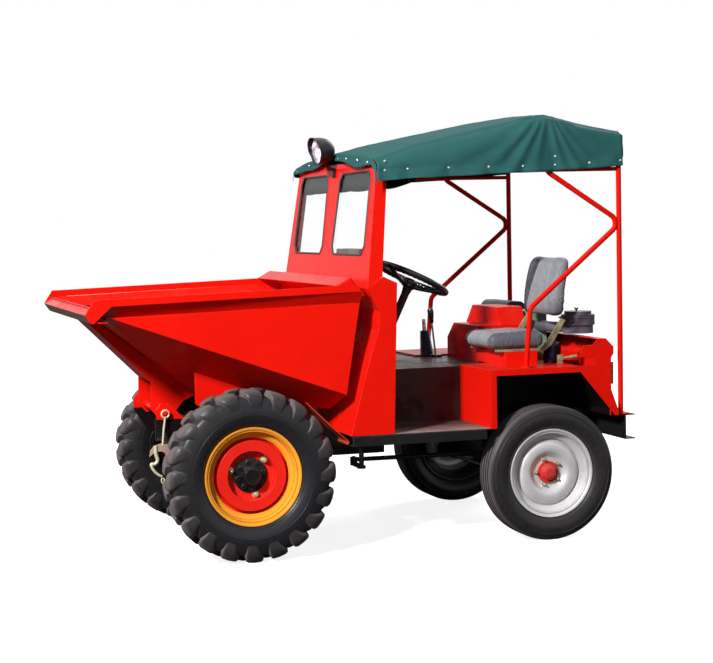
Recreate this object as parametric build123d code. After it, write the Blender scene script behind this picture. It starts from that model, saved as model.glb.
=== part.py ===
from build123d import *
import math
import os

# Site dumper: front tipping skip, rigid front drive axle, steered rear axle, open cab under a
# canvas canopy. Lengths are millimetres. Stations (s) are measured forward from the rear axle,
# y to the left and z up from the ground; MIDDLE is the station that becomes the model's x = 0.

# wheels: radius, tyre width, middle of the tyre, bead seat radius
WHEELBASE = 1446.0
FRONT_R, FRONT_W, FRONT_Y, FRONT_SEAT = 391.0, 196.0, 604.0, 203.0
LUGS, LUG_H, LUG_W, LUG_SKEW, LUG_WALL = 20, 26.0, 52.0, 20.0, 3.0
REAR_R, REAR_W, REAR_Y, REAR_SEAT = 318.0, 154.0, 622.0, 190.0
FLANGE_H = 20.0
FLANGE_T = 7.0
RIM_T = 6.0
HUB_R = 58.0
BEAD_GAP = 0.2
BEAD_SHARE = 0.74
WELL_DEPTH = 24.0
SPINDLE_R = 24.0

# steering
KINGPIN_Y, KINGPIN_R = 485.0, 15.0
RUN_GAP = 0.05
ARM, ARM_W, ARM_T = 120.0, 24.0, 14.0
FORK_REACH, EAR_T, SLEEVE_R, SLEEVE_H = 44.0, 16.0, 24.0, 86.0
KNUCKLE_PLATE = 33.0
EYE_R, EYE_H = 17.0, 24.0
TIE_Z, DRAG_Z = 289.0, 387.0
PITMAN_S, PITMAN_Y = 860.0, 430.0
LINK_R, BALL_R = 11.0, 8.0
COLUMN_TOP = (568.0, 360.0, 1245.0)
COLUMN_FOOT = (719.0, 360.0, 931.0)
COLUMN_R, SHAFT_R = 19.0, 9.0
STEERING_R, STEERING_GRIP, SPOKE_R = 190.0, 12.0, 8.0

# frame
SHEET = 4.0
CHANNEL_H, CHANNEL_B, CHANNEL_T = 120.0, 53.0, 6.0
FRAME_Z = 457.0
RAIL_Y = 230.0
RAIL_REAR, RAIL_FRONT = -386.0, 1700.0
BUMPER_HALF = 680.0
AXLE_TUBE_R = 52.0

# skip: pivot, plate thickness, half width of the rim and how it narrows forward
PIVOT_S, PIVOT_Z, PIVOT_R = 1765.0, 655.0, 17.0
SKIP_T = 5.0
RIM_REAR, RIM_HALF, RIM_TAPER = 935.0, 708.0, 0.030
BAND_TOP = [(955.0, 1234.0), (2135.0, 1200.0)]
BAND_LOW = [(935.0, 1203.0), (2060.0, 1170.0)]
BAND_NOSE = [(2177.0, 1136.0), (2140.0, 1096.0)]
BRIM_FALL = 0.0293
FLARE_IN, FLARE_DOWN = 40.0, 52.0
HEEL = (1000.0, 735.0)
FOLD_RISE, FOLD_SLANT = 0.375, 0.4725
KEEL, KEEL_RISE = (1025.0, 655.0), 0.116
FRONT_FOOT, FRONT_RISE = (1585.0, 720.0), 0.79
WALL_TOP = (925.0, 1182.0)
HOOD_TOP, HOOD_LIP = (985.0, 1262.0), (1048.0, 1228.0)
BEAM_Y = 150.0
REST_S, REST_LENGTH, REST_GAP = 1050.0, 80.0, 0.3
PAD_T = 12.0

# cab and body
HALF = 700.0
WELL_Y = 315.0
FLOOR_Z, DECK_Z, FENDER_Z = 545.0, 810.0, 820.0
FENDER_FRONT = 312.0
CAB_FRONT = [(902.0, 1215.0), (846.0, 1112.0), (852.0, 1026.0), (900.0, 885.0), (992.0, 549.0)]
SCREEN_TOP, LEAN, SCREEN_FACE = 1800.0, 78.0 / 585.0, 4.0
SCREEN_TAPER = 0.123
POST_S, POST_Y, TUBE_R = -372.0, 664.0, 12.5
RIDGE_S, RAIL_TOP, BOW_BEND = 0.0, 1738.0, 45.0
SOFT_GAP = 0.3
SEAT_SIDE, SEAT_W = 130.0, 400.0
COVER_GAP = 14.0

MIDDLE = (BAND_NOSE[0][0] + RAIL_REAR - CHANNEL_B) / 2


def block(s0, s1, y0, y1, z0, z1):
    """A box between two stations, two widths and two heights."""
    return Pos((s0 + s1) / 2, (y0 + y1) / 2, (z0 + z1) / 2) * Box(s1 - s0, y1 - y0, z1 - z0)


def run(points, travel):
    """A flat outline carried along a straight line."""
    return Solid.extrude(Face(Wire.make_polygon([Vector(*p) for p in points])), Vector(*travel))


def across(outline, y0, y1):
    """An outline of (s, z) points, run across from y0 to y1."""
    return run([(s, y0, z) for s, z in outline], (0, y1 - y0, 0))


def forward(outline, s0, s1):
    """An outline of (y, z) points, run forward from s0 to s1."""
    return run([(s0, y, z) for y, z in outline], (s1 - s0, 0, 0))


def folded(outline, thickness, y0, y1):
    """A sheet folded along (s, z) points and as wide as y0 to y1; its left side is on the line."""
    back = []
    points = [Vector(s, z) for s, z in outline]
    for i, point in enumerate(points):
        ahead = (points[min(i + 1, len(points) - 1)] - points[min(i, len(points) - 2)]).normalized()
        behind = (points[max(i, 1)] - points[max(i - 1, 0)]).normalized()
        normal = (Vector(ahead.Y, -ahead.X) + Vector(behind.Y, -behind.X)).normalized()
        reach = thickness / normal.dot(Vector(ahead.Y, -ahead.X))
        back.append(point + normal * reach)
    return across([(p.X, p.Y) for p in points + back[::-1]], y0, y1)


def bar(start, end, radius):
    """A round bar between two points."""
    a, b = Vector(*start), Vector(*end)
    return Solid.make_cylinder(radius, (b - a).length, Plane(origin=a, z_dir=b - a))


def upright(s, y, z0, z1, radius):
    """A round bar standing between two heights."""
    return bar((s, y, z0), (s, y, z1), radius)


def pipe(points, bend, radius):
    """A bent bar: straight runs joined by arcs."""
    path = FilletPolyline(*points, radius=bend)
    return sweep(Plane(origin=path @ 0, z_dir=path % 0) * Circle(radius), path=path)


def both(shape):
    """A shape and its mirror image on the other side."""
    return Part() + shape.solids() + mirror(shape, about=Plane.XZ).solids()


def turned(outline, s, y, z):
    """A ring of (y, r) points turned about a wheel's axle at a place."""
    ring = revolve(Face(Wire.make_polygon([Vector(0, a, r) for a, r in outline])), Axis.Y, 360)
    return Pos(s, y, z) * ring


def hull(walls, inset):
    """The space inside flat walls, each a point on the wall and the way it faces."""
    space = Pos(MIDDLE, 0, WHEELBASE) * Box(3 * WHEELBASE, 4 * HALF, 3 * WHEELBASE)
    for point, facing in walls:
        out = Vector(*facing).normalized()
        space = split(space, Plane(origin=Vector(*point) - out * inset, z_dir=out), keep=Keep.BOTTOM)
    return space


parts = {}


def keep(name, shape):
    parts[name] = Pos(-MIDDLE, 0, 0) * shape


# ---------------------------------------------------------------- skip

def flank(s, inset=0.0):
    """Half the skip's width at a station."""
    return RIM_HALF - RIM_TAPER * (s - RIM_REAR) - inset


def brim(s):
    """Height of the lower edge of the rim band, where the flare starts."""
    return BAND_LOW[0][1] - BRIM_FALL * (s - BAND_LOW[0][0])


def hopper(inset):
    """The space inside the hopper's plates, set in by a thickness."""
    heel_y = flank(HEEL[0], FLARE_IN)
    side = [((HEEL[0], k * heel_y, 0), (RIM_TAPER, k, 0)) for k in (1, -1)]
    under = [((HEEL[0], k * heel_y, HEEL[1]), (FOLD_RISE, k * FOLD_SLANT, -1)) for k in (1, -1)]
    flare = [((RIM_REAR, k * flank(RIM_REAR), brim(RIM_REAR)),
              (RIM_TAPER * FLARE_DOWN, k * FLARE_DOWN, -FLARE_IN)) for k in (1, -1)]
    ends = [((KEEL[0], 0, KEEL[1]), (KEEL_RISE, 0, -1)),
            ((FRONT_FOOT[0], 0, FRONT_FOOT[1]), (FRONT_RISE, 0, -1)),
            ((HEEL[0], 0, HEEL[1]), (HEEL[1] - WALL_TOP[1], 0, WALL_TOP[0] - HEEL[0])),
            ((KEEL[0], 0, KEEL[1]), (KEEL[1] - HEEL[1], 0, HEEL[0] - KEEL[0]))]
    level = (BRIM_FALL, 0, 1)
    top = Plane(origin=(RIM_REAR, 0, brim(RIM_REAR)), z_dir=level)
    waist = Plane(origin=(RIM_REAR, 0, brim(RIM_REAR) - FLARE_DOWN), z_dir=level)
    below = split(hull(under + ends + side, inset), waist, keep=Keep.BOTTOM)
    above = split(hull(under + ends + flare, inset), waist, keep=Keep.TOP)
    return below + split(above, top, keep=Keep.BOTTOM)


def rim_band():
    outline = BAND_TOP + BAND_NOSE + BAND_LOW[::-1]
    points = [(s, flank(s), z) for s, z in outline]
    ear = [WALL_TOP, HOOD_TOP, HOOD_LIP, (HOOD_LIP[0], brim(HOOD_LIP[0])), (RIM_REAR, brim(RIM_REAR))]
    inward = (-RIM_TAPER * SKIP_T, -SKIP_T, 0)
    band = run(points, inward)
    return band + run([(s, flank(s), z) for s, z in ear], inward)


def skip_tub():
    hood_half = flank(HOOD_TOP[0], SKIP_T)
    hood = folded([HOOD_LIP, HOOD_TOP, (WALL_TOP[0] - 4, WALL_TOP[1])], SKIP_T, -hood_half, hood_half)
    lip_half = flank(BAND_NOSE[0][0], SKIP_T)
    nose_s, nose_z = BAND_NOSE[0]
    lip = folded([(nose_s - 102, nose_z - 38), (nose_s - 27, nose_z - 38), (nose_s, nose_z),
                  (nose_s - 37, nose_z + 30)], -SKIP_T, -lip_half, lip_half)
    return hopper(0) - hopper(SKIP_T) + both(rim_band()) + hood + lip


def skip_beam():
    """The channel under the front plate, the pivot cheeks and the rest feet."""
    plate = 8.0
    cheek = [(2070.0, 1099.0), (2105.0, 1094.0), (1800.0, 790.0), (1803.0, 660.0), (1765.0, 615.0),
             (1700.0, 625.0), (1650.0, 690.0), (1589.0, 719.0)]
    cheeks = across(cheek, BEAM_Y, BEAM_Y + plate) - bar((PIVOT_S, 0, PIVOT_Z), (PIVOT_S, 400, PIVOT_Z),
                                                       PIVOT_R + RUN_GAP)
    web = folded([(1800.0, 790.0), (2105.0, 1094.0)], -plate, -BEAM_Y, BEAM_Y)
    gusset_y = flank(1560.0) - 299
    gusset = across([(1395.0, 752.0), (1395.0, 780.0), (1640.0, 860.0), (1640.0, 700.0), (1600.0, 670.0)],
                    gusset_y - 6, gusset_y)
    foot_z = FRAME_Z + CHANNEL_H + PAD_T + REST_GAP
    foot = block(REST_S, REST_S + REST_LENGTH, RAIL_Y + 8, RAIL_Y + CHANNEL_B - 8, foot_z, 700)
    return both(cheeks + gusset + foot) + web - hopper(0) - skip_tub()


keep("skip_tub", skip_tub())
keep("skip_beam", skip_beam())


# ---------------------------------------------------------------- wheels

def tyre(radius, width, seat, tread, shoulder):
    """A tyre's section: beads between the rim flanges, bulging walls, flat tread."""
    half = width / 2
    bead = half * BEAD_SHARE
    wall = radius - seat
    edge = [(-bead, seat), (-bead, seat + FLANGE_H + BEAD_GAP), (-half + 2, seat + 0.36 * wall),
            (-half, seat + 0.64 * wall), (-tread - 4, radius - shoulder), (-tread, radius)]
    return edge + [(-y, r) for y, r in edge[::-1]]


def lugged_tyre(radius, width, seat):
    """A drive tyre: a plain casing, with two rows of bars in a shallow V fused over its shoulders."""
    half, bead = width / 2, width / 2 * BEAD_SHARE
    wall = radius - seat
    edge = [(-bead, seat), (-bead, seat + FLANGE_H + BEAD_GAP), (-half + LUG_WALL, seat + 0.45 * wall),
            (-half + LUG_WALL, radius - 2.5 * LUG_H), (-0.62 * half, radius - LUG_H)]
    shape = turned(edge + [(-y, r) for y, r in edge[::-1]], 0, 0, 0)
    reach = LUG_W / 2 + half * math.sin(math.radians(LUG_SKEW))
    top, low = math.sqrt(radius ** 2 - reach ** 2), radius - 2.5 * LUG_H
    lug = [(-LUG_WALL, top), (0.74 * half, top), (0.965 * half, top - 1.6 * LUG_H), (-LUG_WALL, low)]
    for side, start in ((1, 0), (-1, 0.5)):
        flat = run([(-LUG_W / 2, side * y, z) for y, z in lug], (LUG_W, 0, 0))
        shape += [Rot(0, (start + i) * 360 / LUGS, side * LUG_SKEW) * flat for i in range(LUGS)]
    return shape


def rim(width, seat):
    """A well-base rim: two flanges and the barrel between them."""
    bead = width / 2 * BEAD_SHARE + BEAD_GAP
    edge = bead + FLANGE_T
    top, out, well = seat + FLANGE_H, seat - BEAD_GAP, seat - WELL_DEPTH
    outer = [(-edge, top), (-bead, top), (-bead, out), (-bead + 24, out), (-bead + 34, well)]
    inner = [(bead - 34, well - RIM_T), (bead - 22, out - RIM_T), (edge, out - RIM_T)]
    return (outer + [(-y, r) for y, r in outer[::-1]] + inner[::-1]
            + [(-y, r) for y, r in inner])


def front_wheel(name, k):
    place = (WHEELBASE, k * FRONT_Y, FRONT_R)
    well = FRONT_SEAT - WELL_DEPTH - RIM_T
    tread = lugged_tyre(FRONT_R, FRONT_W, FRONT_SEAT)
    keep("tyre_" + name, Pos(*place) * (tread if k > 0 else mirror(tread, about=Plane.XZ)))
    keep("rim_" + name, turned(rim(FRONT_W, FRONT_SEAT), *place))
    inside = HUB_R + BEAD_GAP
    disc = [(12, well), (12, 163), (46, 158), (46, 112), (8, 106), (8, inside), (0, inside), (0, 112),
            (38, 118), (38, 152), (4, 156), (4, well)]
    keep("disc_" + name, turned([(k * a, r) for a, r in disc], *place))
    bore = SPINDLE_R + RUN_GAP
    hub = [(62, 0), (62, 34), (52, 42), (22, 44), (16, 78), (8, 78), (8, HUB_R), (-30, HUB_R), (-30, 110),
           (-96, 110), (-96, 103), (-38, 103), (-38, bore), (38, bore), (38, 0)]
    keep("hub_" + name, turned([(k * a, r) for a, r in hub], *place))


def rear_wheel(name, k):
    place = (0, k * REAR_Y, REAR_R)
    well = REAR_SEAT - WELL_DEPTH - RIM_T
    keep("tyre_" + name, turned(tyre(REAR_R, REAR_W, REAR_SEAT, 62, 10), *place))
    disc = [(12, well + 3), (34, 140), (34, 96), (12, 74), (12, 40), (6, 40), (6, 76), (28, 100),
            (28, 138), (2, well + 3)]
    keep("rim_" + name, turned(rim(REAR_W, REAR_SEAT), *place)
         + turned([(k * a, r) for a, r in disc], *place))
    bore = SPINDLE_R + RUN_GAP
    hub = [(46, 0), (46, 20), (38, 34), (20, 38), (20, 52), (12, 52), (12, 39.8), (-18, 39.8), (-18, 88),
           (-80, 88), (-80, 82), (-26, 82), (-26, bore), (14, bore), (14, 0)]
    keep("hub_" + name, turned([(k * a, r) for a, r in hub], *place))


for name, k in (("front_left", 1), ("front_right", -1)):
    front_wheel(name, k)
for name, k in (("rear_left", 1), ("rear_right", -1)):
    rear_wheel(name, k)


# ---------------------------------------------------------------- frame and axles

WEB = RAIL_Y + CHANNEL_B
FRAME_TOP = FRAME_Z + CHANNEL_H
SILL_Z = 500.0
SILL_REAR = FENDER_FRONT + 20


def rail():
    """One side rail: a channel with its web outside."""
    solid = block(RAIL_REAR, RAIL_FRONT, RAIL_Y, WEB, FRAME_Z, FRAME_TOP)
    return solid - block(RAIL_REAR, RAIL_FRONT, RAIL_Y, WEB - CHANNEL_T, FRAME_Z + CHANNEL_T,
                         FRAME_TOP - CHANNEL_T)


def sill():
    """The channel under the doorway's edge, on two outriggers from the rail."""
    beam = block(SILL_REAR, 985.0, HALF - 50, HALF, SILL_Z, FLOOR_Z)
    beam -= block(SILL_REAR, 985.0, HALF - 50, HALF - SHEET, SILL_Z + SHEET, FLOOR_Z - SHEET)
    for s in (SILL_REAR, 888.0):
        beam += block(s, s + 36, WEB, HALF - SHEET, SILL_Z, FLOOR_Z)
    return beam


def frame():
    inner = WEB - CHANNEL_T
    shape = both(rail() + sill())
    for s in (-300.0, 330.0, 1080.0, 1640.0):
        cross = block(s, s + 50, -inner, inner, FRAME_Z + CHANNEL_T, FRAME_TOP - CHANNEL_T)
        shape += cross - block(s + SHEET, s + 50, -inner, inner, FRAME_Z + 12, FRAME_TOP - 12)
    pad = block(REST_S, REST_S + REST_LENGTH, RAIL_Y + 8, WEB - 8, FRAME_TOP, FRAME_TOP + PAD_T)
    return shape + both(pad)


def pivot_bracket():
    """Cheek plates on the rails' front ends and the skip's pivot shaft through them."""
    cheek = [(1560.0, FRAME_Z + 4), (RAIL_FRONT, FRAME_Z + 4), (1800.0, 610.0), (1804.0, 668.0),
             (1783.0, 697.0), (1745.0, 697.0), (1620.0, FRAME_TOP)]
    return both(across(cheek, WEB, WEB + 10)) + bar((PIVOT_S, -WEB - 24, PIVOT_Z),
                                                    (PIVOT_S, WEB + 24, PIVOT_Z), PIVOT_R)


def bumper():
    """A channel across the rear, its open side to the rear."""
    rear = RAIL_REAR - CHANNEL_B
    shape = block(rear, RAIL_REAR, -BUMPER_HALF, BUMPER_HALF, FRAME_Z, FRAME_TOP)
    return shape - block(rear, RAIL_REAR - CHANNEL_T, -BUMPER_HALF, BUMPER_HALF, FRAME_Z + CHANNEL_T,
                         FRAME_TOP - CHANNEL_T)


def front_axle():
    """Banjo case, tubes, back plates, spindles and the saddles under the rails."""
    case = turned([(-110, 0), (-110, 70), (-60, 112), (60, 112), (110, 70), (110, 0)],
                  WHEELBASE, 0, FRONT_R)
    reach = FRONT_Y - 99
    tube = bar((WHEELBASE, -reach, FRONT_R), (WHEELBASE, reach, FRONT_R), AXLE_TUBE_R)
    plate = bar((WHEELBASE, reach - 6, FRONT_R), (WHEELBASE, reach, FRONT_R), 108)
    spindle = bar((WHEELBASE, reach, FRONT_R), (WHEELBASE, FRONT_Y + 36, FRONT_R), SPINDLE_R)
    nose = bar((WHEELBASE - 170, 0, FRONT_R), (WHEELBASE, 0, FRONT_R), 60)
    saddle = block(WHEELBASE - 45, WHEELBASE + 45, RAIL_Y, WEB, FRONT_R, FRAME_Z)
    return case + tube + nose + both(plate + spindle + saddle)


def rear_axle():
    """The steered axle's beam, its forked ends, and the bracket that hangs it from the frame."""
    end = KINGPIN_Y - FORK_REACH
    beam = block(-35, 35, -end, end, REAR_R - 35, REAR_R + 35)
    half = SLEEVE_H / 2 + 1
    head = block(-35, 35, end - 16, end, REAR_R - half - EAR_T, REAR_R + half + EAR_T)
    ear = block(-24, 24, end, KINGPIN_Y, REAR_R + half, REAR_R + half + EAR_T)
    ear += bar((0, KINGPIN_Y, REAR_R + half), (0, KINGPIN_Y, REAR_R + half + EAR_T), 24)
    lower = Pos(0, 0, -2 * half - EAR_T) * ear
    pin_half = half + EAR_T + 4
    pin = upright(0, KINGPIN_Y, REAR_R - pin_half, REAR_R + pin_half, KINGPIN_R)
    hanger = across([(-70.0, FRAME_Z - 12), (70.0, FRAME_Z - 12), (34.0, REAR_R), (-34.0, REAR_R)], 60, 72)
    plate = block(-80, 80, -WEB, WEB, FRAME_Z - 12, FRAME_Z)
    return beam + both(head + ear + lower + pin + hanger) + plate


def gearbox():
    """Gearbox, its bell housing and the propeller shaft to the front axle."""
    box = block(640.0, 900.0, -120, 120, 385.0, 620.0)
    bell = bar((420.0, 0, 520.0), (640.0, 0, 520.0), 58)
    shaft = bar((880.0, 0, 430.0), (WHEELBASE - 168, 0, FRONT_R), 26)
    return box + bell + shaft - front_axle()


def engine():
    """The engine as one block with its raised water box."""
    return (block(-240.0, 280.0, -180, 180, 470.0, FRAME_TOP)
            + block(-280.0, 140.0, -222, 150, FRAME_TOP, 800) + block(-232.0, -130.0, -120, 130, 800, 1052)
            + block(-200.0, -160.0, -268, 268, FRAME_TOP, FRAME_TOP + 10)
            + block(80.0, 120.0, -268, 268, FRAME_TOP, FRAME_TOP + 10))


keep("frame", frame())
keep("pivot_bracket", pivot_bracket())
keep("rear_bumper", bumper())
keep("front_axle", front_axle())
keep("rear_axle", rear_axle())
keep("gearbox", gearbox())
keep("engine", engine())


# ---------------------------------------------------------------- steering

def knuckle(k, drag):
    """Sleeve on the king pin, plate, stub axle and arms of one steered wheel."""
    y = KINGPIN_Y
    half = SLEEVE_H / 2
    face = y + KNUCKLE_PLATE
    shape = upright(0, y, REAR_R - half, REAR_R + half, SLEEVE_R)
    shape += block(-18, 18, y, face, REAR_R - 28, REAR_R + 28)
    shape += block(-42, 42, face, face + 14, REAR_R - 50, REAR_R + 50)
    shape += bar((0, face + 14, REAR_R), (0, face + 20, REAR_R), 80)
    shape += bar((0, face + 14, REAR_R), (0, REAR_Y + 12, REAR_R), SPINDLE_R)
    arm_z = TIE_Z + EYE_H / 2 + 1
    shape += block(0, ARM, y - ARM_W / 2, y + ARM_W / 2, arm_z, arm_z + ARM_T)
    shape += upright(ARM, y, arm_z, arm_z + ARM_T, EYE_R)
    shape += upright(ARM, y, TIE_Z - EYE_H / 2 - 4, arm_z, BALL_R)
    if drag:
        top_z = DRAG_Z + EYE_H / 2 + 1
        shape += block(-14, 14, face, face + 14, REAR_R, top_z + ARM_T)
        shape += block(-14, 14, y - ARM, face + 14, top_z, top_z + ARM_T)
        shape += upright(0, y - ARM, top_z, top_z + ARM_T, EYE_R)
        shape += upright(0, y - ARM, DRAG_Z - EYE_H / 2 - 4, top_z, BALL_R)
    shape -= upright(0, y, REAR_R - half, REAR_R + half, KINGPIN_R + RUN_GAP)
    return shape if k > 0 else mirror(shape, about=Plane.XZ)


def link(start, end):
    """A rod with an eye at each end."""
    shape = bar(start, end, LINK_R)
    for s, y, z in (start, end):
        shape += upright(s, y, z - EYE_H / 2, z + EYE_H / 2, EYE_R)
    for s, y, z in (start, end):
        shape -= upright(s, y, z - EYE_H / 2, z + EYE_H / 2, BALL_R + RUN_GAP)
    return shape


BOX_TOP = 640.0
BOX_BORE = 30.0


def pitman():
    """The drop arm on the steering box's shaft."""
    arm_top = DRAG_Z - EYE_H / 2 - 1
    arm_low = arm_top - ARM_T
    shape = block(PITMAN_S - 14, PITMAN_S + 14, PITMAN_Y - ARM, PITMAN_Y, arm_low, arm_top)
    shape += upright(PITMAN_S, PITMAN_Y - ARM, arm_low, arm_top, EYE_R)
    shape += upright(PITMAN_S, PITMAN_Y - ARM, arm_top, DRAG_Z + EYE_H / 2 + 4, BALL_R)
    shape += upright(PITMAN_S, PITMAN_Y, arm_low, arm_top, 20)
    return shape + upright(PITMAN_S, PITMAN_Y, arm_top, FLOOR_Z + SHEET + BOX_BORE, BALL_R + 4)


UP_COLUMN = (Vector(*COLUMN_TOP) - Vector(*COLUMN_FOOT)).normalized()
COLUMN_GAP = 46.0
SHAFT_DEPTH = 60.0


def steering_column():
    """The steering box on the floor and the column tube above it."""
    box = block(PITMAN_S - 42, PITMAN_S + 42, 326, PITMAN_Y + 32, FLOOR_Z + SHEET, BOX_TOP)
    box -= upright(PITMAN_S, PITMAN_Y, FLOOR_Z, FLOOR_Z + SHEET + BOX_BORE + 2, BALL_R + 4 + RUN_GAP)
    top = Vector(*COLUMN_TOP) - UP_COLUMN * COLUMN_GAP
    foot = top - UP_COLUMN * ((top.Z - BOX_TOP + 10) / UP_COLUMN.Z)
    bore_foot = top - UP_COLUMN * (SHAFT_DEPTH + 2)
    return box + bar(foot, top, COLUMN_R) - bar(bore_foot, top, SHAFT_R + RUN_GAP)


def steering_wheel():
    """Rim, three spokes, hub and the shaft that turns in the column."""
    hub = Vector(*COLUMN_TOP)
    across_wheel = Vector(0, 1, 0)
    plane = Plane(origin=hub, x_dir=across_wheel, z_dir=UP_COLUMN)
    shape = plane * (Torus(STEERING_R - STEERING_GRIP, STEERING_GRIP)
                     + Pos(0, 0, -25) * Cylinder(30, 30) + Pos(0, 0, -15) * Cylinder(24, 28))
    ring = STEERING_R - STEERING_GRIP
    spoke = pipe([(16, 0, -26), (0.45 * ring, 0, -26), (ring - 4, 0, -2)], 60, SPOKE_R)
    for turn in (90.0, 210.0, 330.0):
        shape += plane * (Rot(0, 0, turn) * spoke)
    low = hub - UP_COLUMN * (COLUMN_GAP - 1 + SHAFT_DEPTH)
    return shape + bar(low, hub - UP_COLUMN * 30, SHAFT_R)


keep("knuckle_left", knuckle(1, True))
keep("knuckle_right", knuckle(-1, False))
keep("tie_rod", link((ARM, KINGPIN_Y, TIE_Z), (ARM, -KINGPIN_Y, TIE_Z)))
keep("drag_link", link((0, KINGPIN_Y - ARM, DRAG_Z), (PITMAN_S, PITMAN_Y - ARM, DRAG_Z)))
keep("pitman_arm", pitman())
keep("steering_column", steering_column())
keep("steering_wheel", steering_wheel())


# ---------------------------------------------------------------- cab

WINDOW = [(80.0, 1400.0), (112.0, 1364.0), (545.0, 1364.0), (584.0, 1405.0), (566.0, 1715.0),
          (535.0, 1750.0), (132.0, 1750.0), (100.0, 1715.0)]
SCREEN_FOOT = CAB_FRONT[0]
PILLAR_FOOT = (829.0, 1268.0)


def screen_space(front, rear, sides):
    """The windscreen frame's wedge: between two leaning planes and two tapering sides."""
    foot = (PILLAR_FOOT[0] - SCREEN_FOOT[0], PILLAR_FOOT[1] - SCREEN_FOOT[1])
    space = hull([((SCREEN_FOOT[0], 0, SCREEN_FOOT[1]), (1, 0, LEAN))], front)
    space = split(space, Plane(origin=(PILLAR_FOOT[0] - rear, 0, PILLAR_FOOT[1]),
                               z_dir=(-1, 0, -LEAN * 0.8)), keep=Keep.BOTTOM)
    for k in (1, -1):
        space = split(space, Plane(origin=(0, k * (HALF - sides), SCREEN_FOOT[1]),
                                   z_dir=(0, k, SCREEN_TAPER)), keep=Keep.BOTTOM)
    space = split(space, Plane(origin=(SCREEN_FOOT[0], 0, SCREEN_FOOT[1]), z_dir=(foot[1], 0, -foot[0])),
                  keep=Keep.TOP)
    return split(space, Plane(origin=(0, 0, SCREEN_TOP - sides), z_dir=(0, 0, 1)), keep=Keep.BOTTOM)


def grown(outline, amount):
    """A window outline set out from its middle."""
    mid_y = sum(y for y, z in outline) / len(outline)
    mid_z = sum(z for y, z in outline) / len(outline)
    return [(y + math.copysign(amount, y - mid_y), z + math.copysign(amount, z - mid_z))
            for y, z in outline]


def windscreen_frame():
    shell = screen_space(0, 0, 0) - screen_space(SCREEN_FACE, 40, SCREEN_FACE)
    return shell - both(forward(WINDOW, 700, 1000))


def behind_screen(depth):
    """A plane that leans with the windscreen, at a depth behind its face."""
    out = Vector(1, 0, LEAN).normalized()
    return Plane(origin=Vector(SCREEN_FOOT[0], 0, SCREEN_FOOT[1]) - out * depth, z_dir=out)


def windscreen_glass():
    pane = split(forward(grown(WINDOW, 10), 700, 1000), behind_screen(SCREEN_FACE + 0.2), keep=Keep.BOTTOM)
    return both(split(pane, behind_screen(SCREEN_FACE + 5.2), keep=Keep.TOP))


def side_panel():
    """The cab's side sheet, cut to the front panel's folds."""
    rear = [(785.0, FLOOR_Z + SHEET), (761.0, 1237.0), PILLAR_FOOT]
    return across(CAB_FRONT + rear, HALF - SHEET, HALF)


def front_panel():
    sheet = folded(CAB_FRONT, SHEET, -HALF + SHEET, HALF - SHEET)
    return sheet - block(900.0, 1050.0, -WEB - 2, WEB + 2, FRAME_Z, FRAME_TOP + 2)


def deck():
    """Footwell floor on the left, and the raised deck over the gearbox with its side walls."""
    floor = block(FENDER_FRONT, 968.0, WELL_Y, HALF, FLOOR_Z, FLOOR_Z + SHEET)
    floor -= upright(PITMAN_S, PITMAN_Y, FLOOR_Z - 1, FLOOR_Z + SHEET + 1, BALL_R + 8)
    wall = [(FENDER_FRONT, FLOOR_Z), (968.0, FLOOR_Z), (908.0, DECK_Z), (FENDER_FRONT, DECK_Z)]
    left = across(wall, WELL_Y - SHEET, WELL_Y)
    top = block(FENDER_FRONT, 908.0, -HALF, WELL_Y, DECK_Z - SHEET, DECK_Z)
    top += block(-112.0, FENDER_FRONT, -WELL_Y + SHEET, WELL_Y - SHEET, DECK_Z - SHEET, DECK_Z)
    right = [(FENDER_FRONT, FLOOR_Z), (782.0, FLOOR_Z), (774.0, DECK_Z), (FENDER_FRONT, DECK_Z)]
    top -= block(774.0, 1000.0, -HALF - 1, -HALF + SHEET, DECK_Z - 10, DECK_Z + 1)
    return floor + left + top + across(right, -HALF, -HALF + SHEET) - front_space()


def front_space():
    """Everything ahead of the front panel's rear face, to trim the sheets that meet it."""
    ahead = [(1100.0, 500.0), (1100.0, 1300.0)]
    return (across(CAB_FRONT + ahead, -HALF - 10, HALF + 10)
            + folded(CAB_FRONT, SHEET + 0.1, -HALF - 10, HALF + 10))


def instrument_panel():
    """The box of switches on the back of the windscreen's lower sheet, clear of the glass."""
    y0, y1 = WINDOW[0][0] + 50, WINDOW[3][0] - 104
    low = split(block(800.0, 920.0, y0, y1, 1292.0, 1350.0), behind_screen(SCREEN_FACE), keep=Keep.BOTTOM)
    high = block(800.0, 920.0, y0, y1, 1350.0, 1390.0)
    return low + split(high, behind_screen(SCREEN_FACE + 8), keep=Keep.BOTTOM)


def both_pedals():
    """Clutch and brake: a foot plate on a bent bar that rises from the footwell's floor."""
    shape = Part()
    for y in (WELL_Y + 175, WELL_Y + 290):
        shape += pipe([(842.0, y, FLOOR_Z + SHEET), (842.0, y, 640.0), (772.0, y, 700.0)], 40, 8).solids()
        shape += (Pos(770, y, 702) * Rot(0, -42, 0) * Box(64, 58, 7)).solids()
    return shape


keep("windscreen_frame", windscreen_frame())
keep("windscreen_glass", windscreen_glass())
keep("side_panels", both(side_panel()))
keep("front_panel", front_panel())
keep("deck", deck())
keep("instrument_panel", instrument_panel())
keep("pedals", both_pedals())


# ---------------------------------------------------------------- rear body

ARCH = [(280.0, FLOOR_Z), (280.0, 790.0), (-147.0, 790.0), (-325.0, 577.0)]
COWL = [(-237.0, FENDER_Z), (-222.0, 852.0), (-143.0, 860.0), (-159.0, 914.0), (-207.0, 915.0),
        (-240.0, 945.0), (-279.0, 945.0), (-319.0, 905.0), (-319.0, 872.0), (-306.0, 853.0),
        (-306.0, 700.0), (-345.0, 596.0), (-345.0, 577.0)]


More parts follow.
